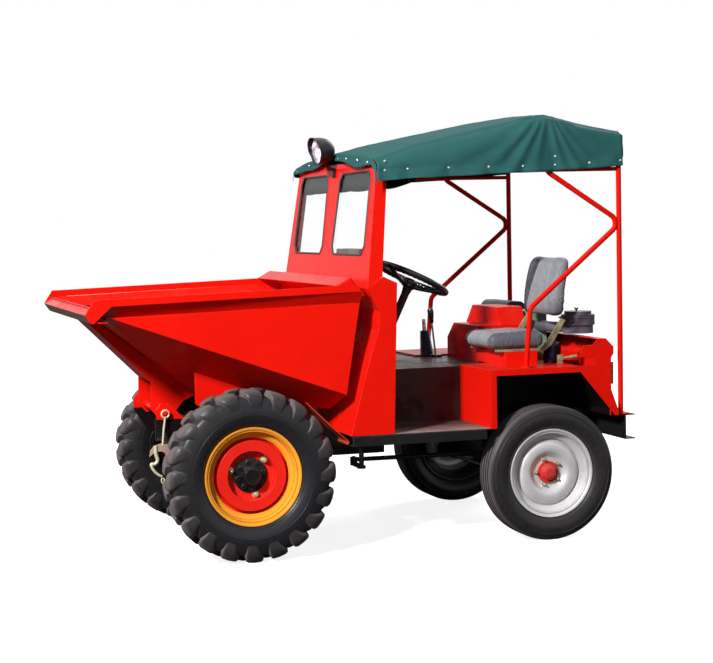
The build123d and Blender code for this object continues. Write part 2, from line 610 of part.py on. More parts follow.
def fender():
    """Side skirt with its wheel arch, front wall, inner wall, top and sloped rear splash plate."""
    skirt = across([(FENDER_FRONT, FLOOR_Z), (FENDER_FRONT, FENDER_Z)] + COWL + ARCH[::-1],
                   HALF - SHEET, HALF)
    front = block(FENDER_FRONT - SHEET, FENDER_FRONT, WELL_Y, HALF - SHEET, FLOOR_Z, FENDER_Z)
    top = block(-143.0, FENDER_FRONT - SHEET, WELL_Y, HALF - SHEET, FENDER_Z - SHEET, FENDER_Z)
    inner = across([(FENDER_FRONT - SHEET, FRAME_TOP + 1), (FENDER_FRONT - SHEET, FENDER_Z - SHEET),
                    (-302.0, FENDER_Z - SHEET), (-302.0, FRAME_TOP + 1)], WELL_Y, WELL_Y + SHEET)
    slope = folded(ARCH[2:], SHEET, WELL_Y + SHEET, HALF - SHEET)
    return skirt + front + top + inner + slope


def rear_cowl():
    """The rear wall, rolled over the engine at its top."""
    wall = COWL[5:11] + [(-306.0, FRAME_TOP)]
    sheet_wall = folded(wall[::-1], SHEET, -HALF + SHEET, HALF - SHEET)
    return sheet_wall - both(fender())


def engine_cover():
    """The stepped cover over the engine's front, chamfered along its sides, clear of the seat."""
    left = HALF - SEAT_SIDE - SEAT_W - COVER_GAP
    low = [(-274.0, DECK_Z), (-272.0, 914.0), (-178.0, 991.0), (left, 991.0), (left, DECK_Z)]
    high = [(-300.0, 940.0), (-300.0, 991.0), (-215.0, 1078.0), (left - 58, 1078.0), (left, 991.0),
            (left, 940.0)]
    shape = forward(low, -110.0, 150.0) + forward(high, -110.0, 30.0)
    low_in = [(-270.0, DECK_Z - 1), (-268.0, 912.0), (-176.0, 987.0), (left - 4, 987.0),
              (left - 4, DECK_Z - 1)]
    high_in = [(-296.0, 944.0), (-296.0, 990.0), (-213.0, 1074.0), (left - 60, 1074.0), (left - 4, 990.0),
               (left - 4, 944.0)]
    return shape - forward(low_in, -120.0, 146.0) - forward(high_in, -120.0, 26.0) - engine()


keep("fenders", both(fender()))
keep("rear_cowl", rear_cowl())
keep("engine_cover", engine_cover())


def air_cleaner():
    """The can over the engine with its stepped lid and the pipe below."""
    s, y = -277.0, 400.0
    can = upright(s, y, 955, 1000, 74) + upright(s, y, 1000, 1046, 82) + upright(s, y, 1046, 1062, 66)
    elbow = pipe([(s, y, 982), (s + 90, 290, 982), (s + 90, 120, 982)], 60, 26)
    return can + elbow - engine()


def fuel_tank():
    shape = block(-232.0, -116.0, -460, -126, FENDER_Z, 1092.0)
    return fillet(shape.edges().filter_by(Axis.Y).sort_by(Axis.Z)[-2:], 40)


keep("fuel_tank", fuel_tank())


def seat():
    """Pedestal, hinged frame, cushion and back."""
    y1 = HALF - SEAT_SIDE
    y0 = y1 - SEAT_W
    keep("seat_pedestal", block(5.0, 170.0, y0 + 5, y1 - 25, FENDER_Z, 888.0))
    rails = block(-20.0, 210.0, y0 + 30, y0 + 60, 888, 899)
    rails += block(-20.0, 210.0, y1 - 60, y1 - 30, 888, 899)
    hinge = [(-20.0, 888.0), (20.0, 888.0), (-30.0, 930.0), (-105.0, 1040.0), (-130.0, 1030.0),
             (-60.0, 920.0)]
    ears = across(hinge, y0 - SOFT_GAP - 5, y0 - SOFT_GAP)
    ears += across(hinge, y1 + SOFT_GAP, y1 + SOFT_GAP + 5)
    bars = bar((-10.0, y0 - SOFT_GAP, 893.0), (-10.0, y1 + SOFT_GAP, 893.0), 5)
    keep("seat_frame", rails + ears + bars)
    keep("seat_cushion", block(-48.0, 262.0, y0, y1, 899 + SOFT_GAP, 984.0))
    back = [(-76.0, 1040.0), (-110.0, 1345.0), (-182.0, 1345.0), (-150.0, 1040.0)]
    keep("seat_back", across(back, y0, y1))


seat()
keep("air_cleaner", air_cleaner())


def lamps():
    amber = both(block(-342.0, -306.0, 560, 650, 722.0, 826.0))
    keep("marker_lamps", amber)
    keep("tail_lamps", both(bar((-306.0, 590, 655.0), (-338.0, 590, 655.0), 44)))


lamps()


# ---------------------------------------------------------------- roof

CANOPY_T = 8.0
# station, crown, top of the flap and hem of the canvas, from the rear bow to the windscreen
CANOPY = [(-384.8, 1940.0, 1928.0, 1762.0), (0.0, 2024.0, 2004.0, 1733.0), (640.0, 1903.0, 1860.0, 1713.0),
          (842.0, 1848.6, 1796.0, 1701.0)]
CANOPY_HALF = HALF + 2.0


def bow_height(row):
    """Height of a bow's tube, so that the canvas rests on it where the bow starts to turn down."""
    s, crown, eave, hem = row
    inside = CANOPY_HALF - CANOPY_T
    share = (POST_Y - BOW_BEND) / inside
    return crown - (crown - eave) * share ** 2 - CANOPY_T - SOFT_GAP - TUBE_R


def handrail():
    """Roof post and its foot, the bent rail from the fender, and half of the bow that each runs into."""
    rear_top, ridge_top = bow_height(CANOPY[0]), bow_height(CANOPY[1])
    post = pipe([(POST_S, POST_Y, FRAME_TOP + 6), (POST_S, POST_Y, rear_top), (POST_S, 0, rear_top)],
                BOW_BEND, TUBE_R)
    foot = block(POST_S - 40, POST_S + 16, POST_Y - 26, POST_Y + 16, FRAME_TOP, FRAME_TOP + 6)
    path = [(116.0, POST_Y, FENDER_Z + 4), (91.0, POST_Y, 1100.0), (POST_S - 12, POST_Y, 1493.0),
            (RIDGE_S, POST_Y, RAIL_TOP), (RIDGE_S, POST_Y, ridge_top), (RIDGE_S, 0, ridge_top)]
    flange = upright(path[0][0], POST_Y, FENDER_Z, FENDER_Z + 6, 26)
    return post + foot + flange + pipe(path, BOW_BEND, TUBE_R)


def roof_frame():
    """Posts, handrails and bows, with the two long rails to the windscreen."""
    return both(handrail()) + both(bar((POST_S, POST_Y, RAIL_TOP + 8), (790.0, 600.0, RAIL_TOP + 2), 10))


def canopy_section(s, crown, eave, hem):
    """One bow of the canvas: hem, eave and crown, outside and inside."""
    t, half = CANOPY_T, CANOPY_HALF
    outer = [Line((s, -half, hem), (s, -half, eave)),
             ThreePointArc((s, -half, eave), (s, 0, crown), (s, half, eave)),
             Line((s, half, eave), (s, half, hem)),
             Line((s, half, hem), (s, half - t, hem))]
    inner = [Line((s, half - t, hem), (s, half - t, eave - t)),
             ThreePointArc((s, half - t, eave - t), (s, 0, crown - t), (s, -half + t, eave - t)),
             Line((s, -half + t, eave - t), (s, -half + t, hem)),
             Line((s, -half + t, hem), (s, -half, hem))]
    return Face(Wire([e for part in outer + inner for e in part.edges()]))


def canopy():
    return loft([canopy_section(*row) for row in CANOPY], ruled=True)


def work_lamp():
    """A round lamp under a short hood, turned a little to the left, on a bracket over the windscreen."""
    y, z, turn = 30.0, 1862.0, 16.0
    shell = [(0, 0), (0, 30), (-14, 44), (-64, 58), (-74, 56), (-74, 52), (-66, 50), (-66, 0)]
    body = revolve(Face(Wire.make_polygon([Vector(-a, 0, r) for a, r in shell])), Axis.X, 360)
    hood = Pos(88, 0, 0) * Rot(0, 90, 0) * (Cylinder(60, 40) - Cylinder(57, 42))
    hood -= Pos(88, 0, -34) * Box(60, 140, 90)
    head = Pos(854, y, z) * Rot(0, 5, turn) * (body + hood)
    arm = block(810.0, 876, y - 20, y + 20, SCREEN_TOP - 30, SCREEN_TOP - 16)
    neck = block(862, 876, y - 20, y + 20, SCREEN_TOP - 20, z - 50)
    stem = bar((869, y, z - 56), (869, y, z - 40), 12)
    return head + neck + arm + stem - screen_space(0, 0, 0)


keep("roof_frame", roof_frame())
keep("canopy", canopy())
keep("work_lamp", work_lamp())


# ---------------------------------------------------------------- small pieces

def levers():
    base = block(162.0, 232.0, -308, -248, DECK_Z, DECK_Z + 10)
    rod = bar((190.0, -278.0, DECK_Z + 5), (215.0, -290.0, 990.0), 7)
    return base + rod + bar((215.0, -290.0, 990.0), (226.0, -294.0, 1062.0), 17)


def front_guard():
    """The splash plate between the front wheel and the cab."""
    foot_s, foot_z = CAB_FRONT[-1]
    line = [(1160.0, 705.0), (foot_s + 7, foot_z), (foot_s - 47, foot_z - 46), (foot_s - 52, foot_z - 55),
            (foot_s - 46, foot_z - 65)]
    return folded(line, SHEET, 330, 490) - hopper(-12)


def front_hook():
    """An eye rod on the pivot shaft's end with a forged hook below."""
    y = 248.0
    eye = bar((PIVOT_S, y - 8, PIVOT_Z), (PIVOT_S, y + 8, PIVOT_Z), PIVOT_R + 11)
    eye -= bar((PIVOT_S, y - 8, PIVOT_Z), (PIVOT_S, y + 8, PIVOT_Z), PIVOT_R + RUN_GAP)
    rod = upright(PIVOT_S, y, 520.0, PIVOT_Z - PIVOT_R - 6, 7)
    fork = block(PIVOT_S - 20, PIVOT_S + 20, y - 7, y + 7, 482.0, 528.0)
    hook = pipe([(PIVOT_S, y, 490.0), (PIVOT_S, y, 386.0), (PIVOT_S + 36, y, 370.0),
                 (PIVOT_S + 58, y, 410.0)], 18, 8)
    return eye + rod + fork + hook


def brake_lever():
    """The parking brake's lever, lying back from its bracket on the left fender."""
    y = WELL_Y + 215
    bracket = block(-141.0, -109.0, y - 14, y - 8, FENDER_Z, 862.0)
    boss = bar((-125.0, y - 11, 845.0), (-125.0, y + 7, 845.0), 11)
    grip = bar((-172.0, y, 848.4), (-208.0, y, 851.0), 9)
    return bracket + boss + bar((-121.0, y, 844.7), (-184.0, y, 849.2), 6) + grip


def oil_can():
    """A spin-on canister standing on the fender behind the seat."""
    s, y = -115.0, 450.0
    ring = [(0, 0), (0, 40), (6, 43), (84, 43), (96, 36), (96, 20), (104, 20), (104, 0)]
    outline = [Vector(r, 0, z) for z, r in ring]
    return Pos(s, y, FENDER_Z) * revolve(Face(Wire.make_polygon(outline)), Axis.Z, 360)


keep("brake_lever", brake_lever())
keep("oil_can", oil_can())
keep("levers", levers())
keep("front_guards", both(front_guard()))
keep("front_hook", front_hook())

os.makedirs("parts", exist_ok=True)
for name, shape in parts.items():
    export_step(Compound(children=list(shape.solids())), f"parts/{name}.step")
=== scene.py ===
from math import asin, atan2, cos, degrees, exp, hypot, pi, radians, sin

import bmesh
import bpy
from mathutils import Euler, Matrix, Vector, noise


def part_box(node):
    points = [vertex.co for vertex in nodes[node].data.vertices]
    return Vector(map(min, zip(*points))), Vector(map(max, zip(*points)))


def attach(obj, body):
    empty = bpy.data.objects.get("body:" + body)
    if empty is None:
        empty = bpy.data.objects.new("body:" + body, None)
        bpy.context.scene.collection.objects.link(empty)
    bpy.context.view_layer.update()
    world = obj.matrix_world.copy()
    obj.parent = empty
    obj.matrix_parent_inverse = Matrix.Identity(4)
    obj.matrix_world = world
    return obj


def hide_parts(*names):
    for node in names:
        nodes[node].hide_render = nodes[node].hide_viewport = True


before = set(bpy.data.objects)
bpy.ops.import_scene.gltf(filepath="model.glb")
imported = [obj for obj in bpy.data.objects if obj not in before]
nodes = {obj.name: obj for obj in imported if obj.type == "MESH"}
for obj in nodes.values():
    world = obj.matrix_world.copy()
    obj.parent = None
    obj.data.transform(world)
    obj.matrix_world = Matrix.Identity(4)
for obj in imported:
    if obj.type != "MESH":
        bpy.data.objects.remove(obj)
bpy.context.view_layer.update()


# ------------ camera, light and floor
# A small studio: a white floor, a white sky, one large soft key from the machine's front left and
# a weak one from behind. The camera stands off the machine's left side, a little ahead of it.

class Web:
    """A node tree being laid out; a source is another node's socket or a plain value."""

    def __init__(self, tree):
        self.tree = tree

    def feed(self, socket, source):
        if isinstance(source, bpy.types.NodeSocket):
            self.tree.links.new(source, socket)
        else:
            socket.default_value = source

    def fill(self, sockets, **sources):
        for label, source in sources.items():
            self.feed(sockets[label.replace("_", " ")], source)

    def node(self, kind, **settings):
        """A node with its settings and, after in_, the sources of its sockets."""
        made = self.tree.nodes.new(kind)
        for key, value in settings.items():
            if key.startswith("in_"):
                label = key[3:].replace("_", " ")
                self.feed(next(s for s in made.inputs if s.name == label and s.enabled), value)
            else:
                setattr(made, key, value)
        return made

    def math(self, operation, *sources):
        """The same operation on two sources, then on the result and the next one."""
        result, *others = sources
        for other in others or [None]:
            made = self.node("ShaderNodeMath", operation=operation)
            self.feed(made.inputs[0], result)
            if other is not None:
                self.feed(made.inputs[1], other)
            result = made.outputs[0]
        return result

    def times(self, *sources):
        return self.math("MULTIPLY", *sources)

    def plus(self, *sources):
        return self.math("ADD", *sources)

    def ranged(self, source, low, high, to_low=0.0, to_high=1.0):
        return self.node("ShaderNodeMapRange", in_Value=source, in_From_Min=low, in_From_Max=high,
                         in_To_Min=to_low, in_To_Max=to_high).outputs[0]

    def mixed(self, factor, first, second):
        made = self.node("ShaderNodeMix", data_type="RGBA")
        for index, source in ((0, factor), (6, first), (7, second)):
            self.feed(made.inputs[index], source)
        return made.outputs[2]

    def where(self, label="Object"):
        """One of the piece's own coordinates."""
        return self.node("ShaderNodeTexCoord").outputs[label]

    def axes(self, source):
        """X, Y and Z of a place or direction."""
        return self.node("ShaderNodeSeparateXYZ", in_Vector=source).outputs

    def speckle(self, scale, detail=4.0, rough=0.55):
        """Noise over the piece."""
        return self.node("ShaderNodeTexNoise", in_Vector=self.where(), in_Scale=scale, in_Detail=detail,
                         in_Roughness=rough).outputs["Fac"]

    def bump(self, distance, strength, height, **more):
        return self.node("ShaderNodeBump", in_Distance=distance, in_Strength=strength, in_Height=height,
                         **more).outputs[0]


def finish(name):
    """A new material, its web and its shader's sockets."""
    made = bpy.data.materials.new(name)
    made.use_nodes = True
    return made, Web(made.node_tree), made.node_tree.nodes["Principled BSDF"].inputs


def linked(name, data, **settings):
    """An object in the scene, with settings of its data."""
    for key, value in settings.items():
        setattr(data, key, value)
    thing = bpy.data.objects.new(name, data)
    bpy.context.scene.collection.objects.link(thing)
    return thing


def aim(thing, location, forward, roll=0.0):
    """Stands a camera or lamp at a place, looking along a direction with a roll about it."""
    forward = Vector(forward).normalized()
    right = forward.cross(Vector((0, 0, 1))).normalized()
    up = right.cross(forward)
    turned_right = right * cos(roll) + up * sin(roll)
    turned_up = up * cos(roll) - right * sin(roll)
    columns = Matrix((turned_right, turned_up, -forward)).transposed()
    thing.matrix_world = Matrix.Translation(location) @ columns.to_4x4()


yaw, pitch, roll = 0.3065, 0.0552, -0.0189
eye = (2.4132, 7.9174, 1.5102)
camera = linked("camera", bpy.data.cameras.new("camera"), sensor_width=36.0, lens=85.07, shift_x=0.0119,
                shift_y=-0.0208, clip_end=200.0)
bpy.context.scene.camera = camera
aim(camera, eye, (-sin(yaw) * cos(pitch), -cos(yaw) * cos(pitch), -sin(pitch)), roll)
machine_middle = Vector((0, 0, 0.8))
for name, spot, size, power in (("key", (6.6, 6.2, 5.8), 1.2, 1500.0), ("rim", (-5.5, -4.5, 5.5), 4.0, 260.0)):
    lamp = linked(name, bpy.data.lights.new(name, "AREA"), shape="DISK", size=size, energy=power)
    aim(lamp, spot, machine_middle - Vector(spot))

world = bpy.data.worlds.new("sky")
bpy.context.scene.world = world
world.use_nodes = True
world.node_tree.nodes.clear()
sky = Web(world.node_tree)
path = sky.node("ShaderNodeLightPath").outputs
sky_mix = sky.node("ShaderNodeMixShader", in_Fac=sky.math("MAXIMUM", path["Is Camera Ray"],
                                                          path["Is Transmission Ray"], path["Is Glossy Ray"]))
for index, colour, strength in ((1, (0.93, 0.96, 1.0, 1), 0.15), (2, (1, 1, 1, 1), 1.0)):
    light = sky.node("ShaderNodeBackground", in_Color=colour, in_Strength=strength)
    sky.feed(sky_mix.inputs[index], light.outputs[0])
sky.node("ShaderNodeOutputWorld", in_Surface=sky_mix.outputs[0])

far = 30.0
floor_mesh = bpy.data.meshes.new("floor")
floor_mesh.from_pydata([(-far, -far, 0), (far, -far, 0), (far, far, 0), (-far, far, 0)], [], [(0, 1, 2, 3)])
floor = linked("floor", floor_mesh)
floor_paint, web, shader = finish("floor_white")
path = web.node("ShaderNodeLightPath").outputs
seen = web.math("MAXIMUM", path["Is Camera Ray"], path["Is Transmission Ray"])
web.fill(shader, Roughness=0.9, Specular_IOR_Level=0.0, Emission_Color=(1, 1, 1, 1),
         Base_Color=web.mixed(seen, (0.12, 0.115, 0.11, 1), (0.95, 0.95, 0.95, 1)),
         Emission_Strength=web.times(seen, 0.86))
floor_mesh.materials.append(floor_paint)
bpy.context.scene.view_settings.view_transform = "Standard"


# ------------ sheet metal in red enamel
# The skip, cab, fenders and covers are folded and welded plate, sprayed in one glossy red coat that
# pools a little unevenly, thins at the folds and holds a film of site dust where it faces up.

def shader_group(name, colours, values):
    """A shader group with the sockets it takes; it gives a colour, a roughness and a normal."""
    web = Web(bpy.data.node_groups.new(name, "ShaderNodeTree"))
    sockets = [(label, "INPUT", "Color") for label in colours] + [(label, "INPUT", "Float") for label in values]
    sockets += [("Color", "OUTPUT", "Color"), ("Roughness", "OUTPUT", "Float"), ("Normal", "OUTPUT", "Vector")]
    for label, way, kind in sockets:
        web.tree.interface.new_socket(label, in_out=way, socket_type="NodeSocket" + kind)
    return web, web.node("NodeGroupInput").outputs, web.node("NodeGroupOutput").inputs


def grouped(name, group, values, **settings):
    """A material that takes its look from a group, with other settings of its shader."""
    made, web, shader = finish(name)
    look = web.node("ShaderNodeGroup", node_tree=group)
    web.fill(look.inputs, **values)
    web.fill(shader, Base_Color=look.outputs["Color"], Roughness=look.outputs["Roughness"],
             Normal=look.outputs["Normal"], **settings)
    return made


def build_coat_group():
    """Painted or bare plate: broad and fine change of shade, worn folds, dust on top, orange peel."""
    web, given, result = shader_group("plate_coat", ("Paint", "Worn"),
                                      ("Uneven", "Wear", "Dust", "Gloss", "Peel", "Fold"))
    rounded = web.node("ShaderNodeBevel", samples=6, in_Radius=given["Fold"]).outputs[0]
    face = web.node("ShaderNodeNewGeometry").outputs["Normal"]
    along = web.node("ShaderNodeVectorMath", operation="DOT_PRODUCT")
    web.feed(along.inputs[0], rounded)
    web.feed(along.inputs[1], face)
    edge = web.times(web.ranged(along.outputs["Value"], 0.997, 0.93),
                     web.ranged(web.speckle(38.0, 6.0, 0.7), 0.42, 0.66), given["Wear"])
    broad = web.ranged(web.speckle(2.1, 3.0), 0.3, 0.7, -0.5, 0.5)
    fine = web.ranged(web.speckle(17.0, 5.0, 0.65), 0.3, 0.7, -0.25, 0.25)
    shade = web.times(web.plus(broad, fine), given["Uneven"])
    tone = web.node("ShaderNodeHueSaturation", in_Color=given["Paint"], in_Value=web.plus(shade, 1.0))
    upward = web.ranged(web.axes(face)["Z"], 0.25, 0.95)
    drift = web.ranged(web.speckle(5.0, 7.0, 0.72), 0.38, 0.72)
    dusty = web.times(upward, drift, given["Dust"])
    painted = web.mixed(edge, tone.outputs[0], given["Worn"])
    rough = web.plus(given["Gloss"], web.times(shade, 1.2), web.times(dusty, 0.45), web.times(edge, 0.2))
    waves = web.plus(web.speckle(6.5, 2.0), web.times(web.speckle(240.0, 2.0), 0.05))
    web.fill(result, Color=web.mixed(dusty, painted, (0.34, 0.27, 0.21, 1)), Roughness=rough,
             Normal=web.bump(0.004, given["Peel"], waves, in_Normal=rounded))
    return web.tree


coat_group = build_coat_group()


def coated(name, paint, worn=(0.4, 0.36, 0.33), uneven=0.12, wear=0.5, dust=0.3, gloss=0.3, peel=0.1,
           fold=0.003, metallic=0.0, clear=0.0, specular=0.2):
    """A plate or casting finish made from the coat group."""
    values = dict(Paint=(*paint, 1), Worn=(*worn, 1), Uneven=uneven, Wear=wear, Dust=dust, Gloss=gloss,
                  Peel=peel, Fold=fold)
    return grouped(name, coat_group, values, Metallic=metallic, Coat_Weight=clear, Coat_Roughness=0.12,
                   Specular_IOR_Level=specular)


def repainted(paint, colour, mask):
    """Lays a colour over a finish where a mask, made from place and facing, lets it through."""
    web = Web(paint.node_tree)
    base = web.tree.nodes["Principled BSDF"].inputs["Base Color"]
    cover = mask(web, web.axes(web.where()), web.axes(web.where("Normal")))
    web.feed(base, web.mixed(cover, base.links[0].from_socket, colour))
    return paint


def black_coat_and_painted_shade(paint, width, top, under=-2.0, ahead=2.0, behind=-2.0):
    """Near-black on the inboard side below a top, facing neither front nor rear, and on faces turned down: black paint
    on the pivot bracket's lower cheeks, painted shade in the wheel wells, under the covers and inside the wheels.
    """
    def hidden(web, spot, facing):
        edge = web.times(web.speckle(30.0, 4.0), 0.006)
        inboard = web.math("LESS_THAN", web.math("ABSOLUTE", spot["Y"]), width)
        low = web.math("LESS_THAN", web.plus(spot["Z"], edge), top)
        turned = web.times(web.math("LESS_THAN", facing["X"], ahead),
                           web.math("GREATER_THAN", facing["X"], behind))
        return web.math("MAXIMUM", web.times(inboard, low, turned), web.math("LESS_THAN", facing["Z"], under))
    return repainted(paint, (0.010, 0.006, 0.006, 1), hidden)


def dress(material, *names):
    """Gives CAD nodes a finish."""
    for name in names:
        nodes[name].data.materials.clear()
        nodes[name].data.materials.append(material)


def grazed(web, spot, facing):
    """The nose's underside, rubbed bare where it is driven into the heap."""
    return web.times(web.ranged(facing["Z"], -0.05, -0.35), web.ranged(spot["X"], nose_x - 0.16, nose_x - 0.10),
                     web.ranged(web.speckle(14.0, 7.0, 0.7), 0.34, 0.5, 0.45, 1.0))


# after the paint: worn colour, unevenness, wear, dust, gloss and peel, then the fold's radius
red = coated("red_enamel", (0.80, 0.0085, 0.0032), (0.55, 0.10, 0.07), 0.10, 0.5, 0.16, 0.26, 0.10, 0.0035,
             specular=0.04)
dress(red, "skip_beam", "front_panel", "side_panels", "windscreen_frame", "engine_cover", "seat_pedestal",
      "roof_frame")
no_limit = 9.0
dress(black_coat_and_painted_shade(red.copy(), no_limit, 0.628), "pivot_bracket")
nose_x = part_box("skip_tub")[1].x
dress(repainted(red.copy(), (0.17, 0.13, 0.12, 1), grazed), "skip_tub")
# painted shade: near-black in the fenders' wheel wells and on their downward faces
dress(black_coat_and_painted_shade(red.copy(), 0.685, 0.772, -0.30, 0.5), "fenders")
# painted shade: near-black on the rear cowl's low inboard faces and on its downward faces
dress(black_coat_and_painted_shade(red.copy(), 0.690, 0.790, -0.30, behind=-0.5), "rear_cowl")
dress(coated("primer_red", (0.62, 0.055, 0.02), (0.35, 0.2, 0.15), 0.3, 0.6, 0.5, 0.5, 0.15), "front_guards")


# ------------ black chassis and small fittings
# Rails, axles, bumper and links are hot-rolled section and castings under thin black paint, greasy
# and dusty; small fittings are zinc-plated or enamelled. The step's walked-on edge is rubbed pale.

def scuffed(web, spot, facing):
    """The outer part of the footwell's floor, scuffed by boots."""
    return web.times(web.ranged(web.math("ABSOLUTE", spot["Y"]), 0.44, 0.70, -0.1, 0.95),
                     web.ranged(web.speckle(9.0, 7.0, 0.7), 0.30, 0.55, 0.35, 1.0),
                     web.math("LESS_THAN", spot["Z"], 0.65), web.math("GREATER_THAN", facing["Z"], 0.5))


black = coated("chassis_black", (0.009, 0.0085, 0.009), (0.28, 0.24, 0.21), 0.35, 0.35, 0.25, 0.42, 0.2,
               specular=0.15)
iron = coated("oily_iron", (0.02, 0.019, 0.018), (0.2, 0.18, 0.16), 0.5, 0.4, 0.3, 0.5, 0.5, metallic=0.2)
steel = coated("bright_steel", (0.42, 0.41, 0.39), (0.6, 0.58, 0.55), 0.3, 0.6, 0.3, 0.34, metallic=0.9)
zinc = coated("yellow_zinc", (0.52, 0.44, 0.27), (0.2, 0.14, 0.09), 0.5, 0.4, 0.2, 0.36, 0.12, metallic=0.55)
green = coated("engine_green", (0.20, 0.34, 0.22), (0.3, 0.28, 0.24), 0.3, 0.4, 0.4, 0.4, 0.15)
tank_paint = coated("tank_black", (0.012, 0.011, 0.022), (0.12, 0.11, 0.13), 0.3, 0.3, 0.12, 0.26,
                    specular=0.15)
can_paint = coated("slate_enamel", (0.120, 0.112, 0.148), (0.25, 0.25, 0.27), 0.25, 0.4, 0.3, 0.33, 0.12,
                   specular=0.3)
mat_black = coated("deck_mat", (0.052, 0.022, 0.020), (0.14, 0.11, 0.10), 0.5, 0.3, 0.35, 0.4, 0.4)
dress(black, "frame", "rear_bumper", "front_axle", "rear_axle", "knuckle_left", "knuckle_right", "pitman_arm",
      "pedals", "tie_rod", "drag_link")
dress(iron, "gearbox")
dress(zinc, "seat_frame", "front_hook", "brake_lever")
dress(green, "engine")
dress(tank_paint, "fuel_tank", "oil_can")
dress(can_paint, "air_cleaner")
dress(mat_black, "instrument_panel", "steering_column")
dress(repainted(mat_black.copy(), (0.40, 0.31, 0.29, 1), scuffed), "deck")


# ------------ front tyres
# Cross-ply drive tyres: a smooth rounded wall and two rows of thick rubber bars in a shallow V, each
# running from the middle of the tread over the shoulder and down the wall. Moulded in one piece.

def skin(rows, closed=False, around=True, capped=False, weld=0.0):
    """A mesh over rows of points; closed joins the last row to the first, around each row's own ends."""
    made = bmesh.new()
    rows = [[made.verts.new(p) for p in row] for row in rows]
    wide = len(rows[0])
    for here, there in zip(rows, rows[1:] + rows[:1] if closed else rows[1:]):
        for i in range(wide if around else wide - 1):
            j = (i + 1) % wide
            made.faces.new((here[i], here[j], there[j], there[i]))
    if capped:
        made.faces.new(rows[0][::-1])
        made.faces.new(rows[-1])
    if weld:
        bmesh.ops.remove_doubles(made, verts=made.verts, dist=weld)
    bmesh.ops.recalc_face_normals(made, faces=made.faces)
    mesh = bpy.data.meshes.new("skin")
    made.to_mesh(mesh)
    made.free()
    return mesh


def turns(count, first=0.0):
    """Equal turns of a full circle."""
    return [first + 2 * pi * k / count for k in range(count)]


def lathe(outline, centre):
    """A closed outline of (y, r) points spun about a wheel's axle."""
    return skin([[centre + Vector((r * sin(a), y, r * cos(a))) for y, r in outline]
                 for a in turns(128)], closed=True)


def mirrored(line):
    """A line of (y, r) points as seen from the other side of the wheel, in reverse."""
    return [(-y, r) for y, r in line[::-1]]


def shown(name, mesh, material, smooth, stands_for=(), body="chassis"):
    """Puts a finished mesh in the scene as a piece of a body."""
    piece = linked(name, mesh)
    mesh.materials.clear()
    mesh.materials.append(material)
    mesh.shade_smooth()
    mesh.set_sharp_from_angle(angle=radians(smooth))
    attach(piece, body)
    if stands_for:
        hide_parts(*stands_for)
    return piece


def curve_through(points, steps):
    """A smooth line of points through a few given ones."""
    line = []
    pad = [Vector(p) for p in (points[0], *points, points[-1])]
    for p0, p1, p2, p3 in zip(pad, pad[1:], pad[2:], pad[3:]):
        for t in (step / steps for step in range(steps)):
            line.append(0.5 * (2 * p1 + (p2 - p0) * t + (2 * p0 - 5 * p1 + 4 * p2 - p3) * t * t
                               + (3 * p1 - p0 - 3 * p2 + p3) * t * t * t))
    return line + [pad[-1]]


def build_rubber_group():
    """Moulded rubber: near black, browned by dust in patches and on the tread, with a fine grain; the film's pale
    colour also paints in the sheen on the lugs.
    """
    web, given, result = shader_group("rubber_skin", (), ("Dust", "Grain", "Gloss", "Tread"))
    rounded = web.node("ShaderNodeBevel", samples=4, in_Radius=0.004).outputs[0]
    fine = web.speckle(46.0, 8.0, 0.75)
    dust_and_sheen = web.times(web.ranged(web.speckle(4.5, 5.0, 0.6), 0.35, 0.72, 0.25, 1.0),
                     web.ranged(fine, 0.25, 0.75, 0.5, 1.0), given["Dust"])
    tread = web.ranged(web.math("ABSOLUTE", web.axes(web.where("Normal"))["Y"]), 0.35, 0.9, 1.0, 0.0)
    dust_and_sheen = web.plus(dust_and_sheen, web.times(tread, given["Tread"]))
    dark = web.mixed(web.ranged(fine, 0.3, 0.7), (0.007, 0.007, 0.009, 1), (0.016, 0.015, 0.018, 1))
    grain = web.plus(fine, web.times(web.speckle(400.0, 2.0), 0.3))
    # the pale film stands for dust and for a painted sheen on the bars
    web.fill(result, Color=web.mixed(dust_and_sheen, dark, (0.150, 0.126, 0.122, 1)),
             Roughness=web.plus(given["Gloss"], web.times(dust_and_sheen, 0.5)),
             Normal=web.bump(0.0015, given["Grain"], grain, in_Normal=rounded))
    return web.tree


rubber_group = build_rubber_group()


def rubber(name, dust, grain, gloss, tread=0.0):
    """A rubber finish made from the skin group."""
    return grouped(name, rubber_group, dict(Dust=dust, Grain=grain, Gloss=gloss, Tread=tread),
                   Specular_IOR_Level=0.28)


def geometry_group(name, **kinds):
    """A geometry tree that takes a mesh, a material and some named values, and gives a mesh back."""
    web = Web(bpy.data.node_groups.new(name, "GeometryNodeTree"))
    web.tree.is_modifier = True
    for label, kind in dict(Geometry="Geometry", **kinds, Material="Material").items():
        web.tree.interface.new_socket(label.replace("_", " "), in_out="INPUT", socket_type="NodeSocket" + kind)
    web.tree.interface.new_socket("Geometry", in_out="OUTPUT", socket_type="NodeSocketGeometry")
    return web, web.node("NodeGroupInput").outputs


def end_group(web, copies, material):
    """Ends a geometry tree with its copies made real and given their finish."""
    real = web.node("GeometryNodeRealizeInstances", in_Geometry=copies.outputs[0])
    painted = web.node("GeometryNodeSetMaterial", in_Geometry=real.outputs[0], in_Material=material)
    web.node("NodeGroupOutput", in_Geometry=painted.outputs[0])
    return web.tree


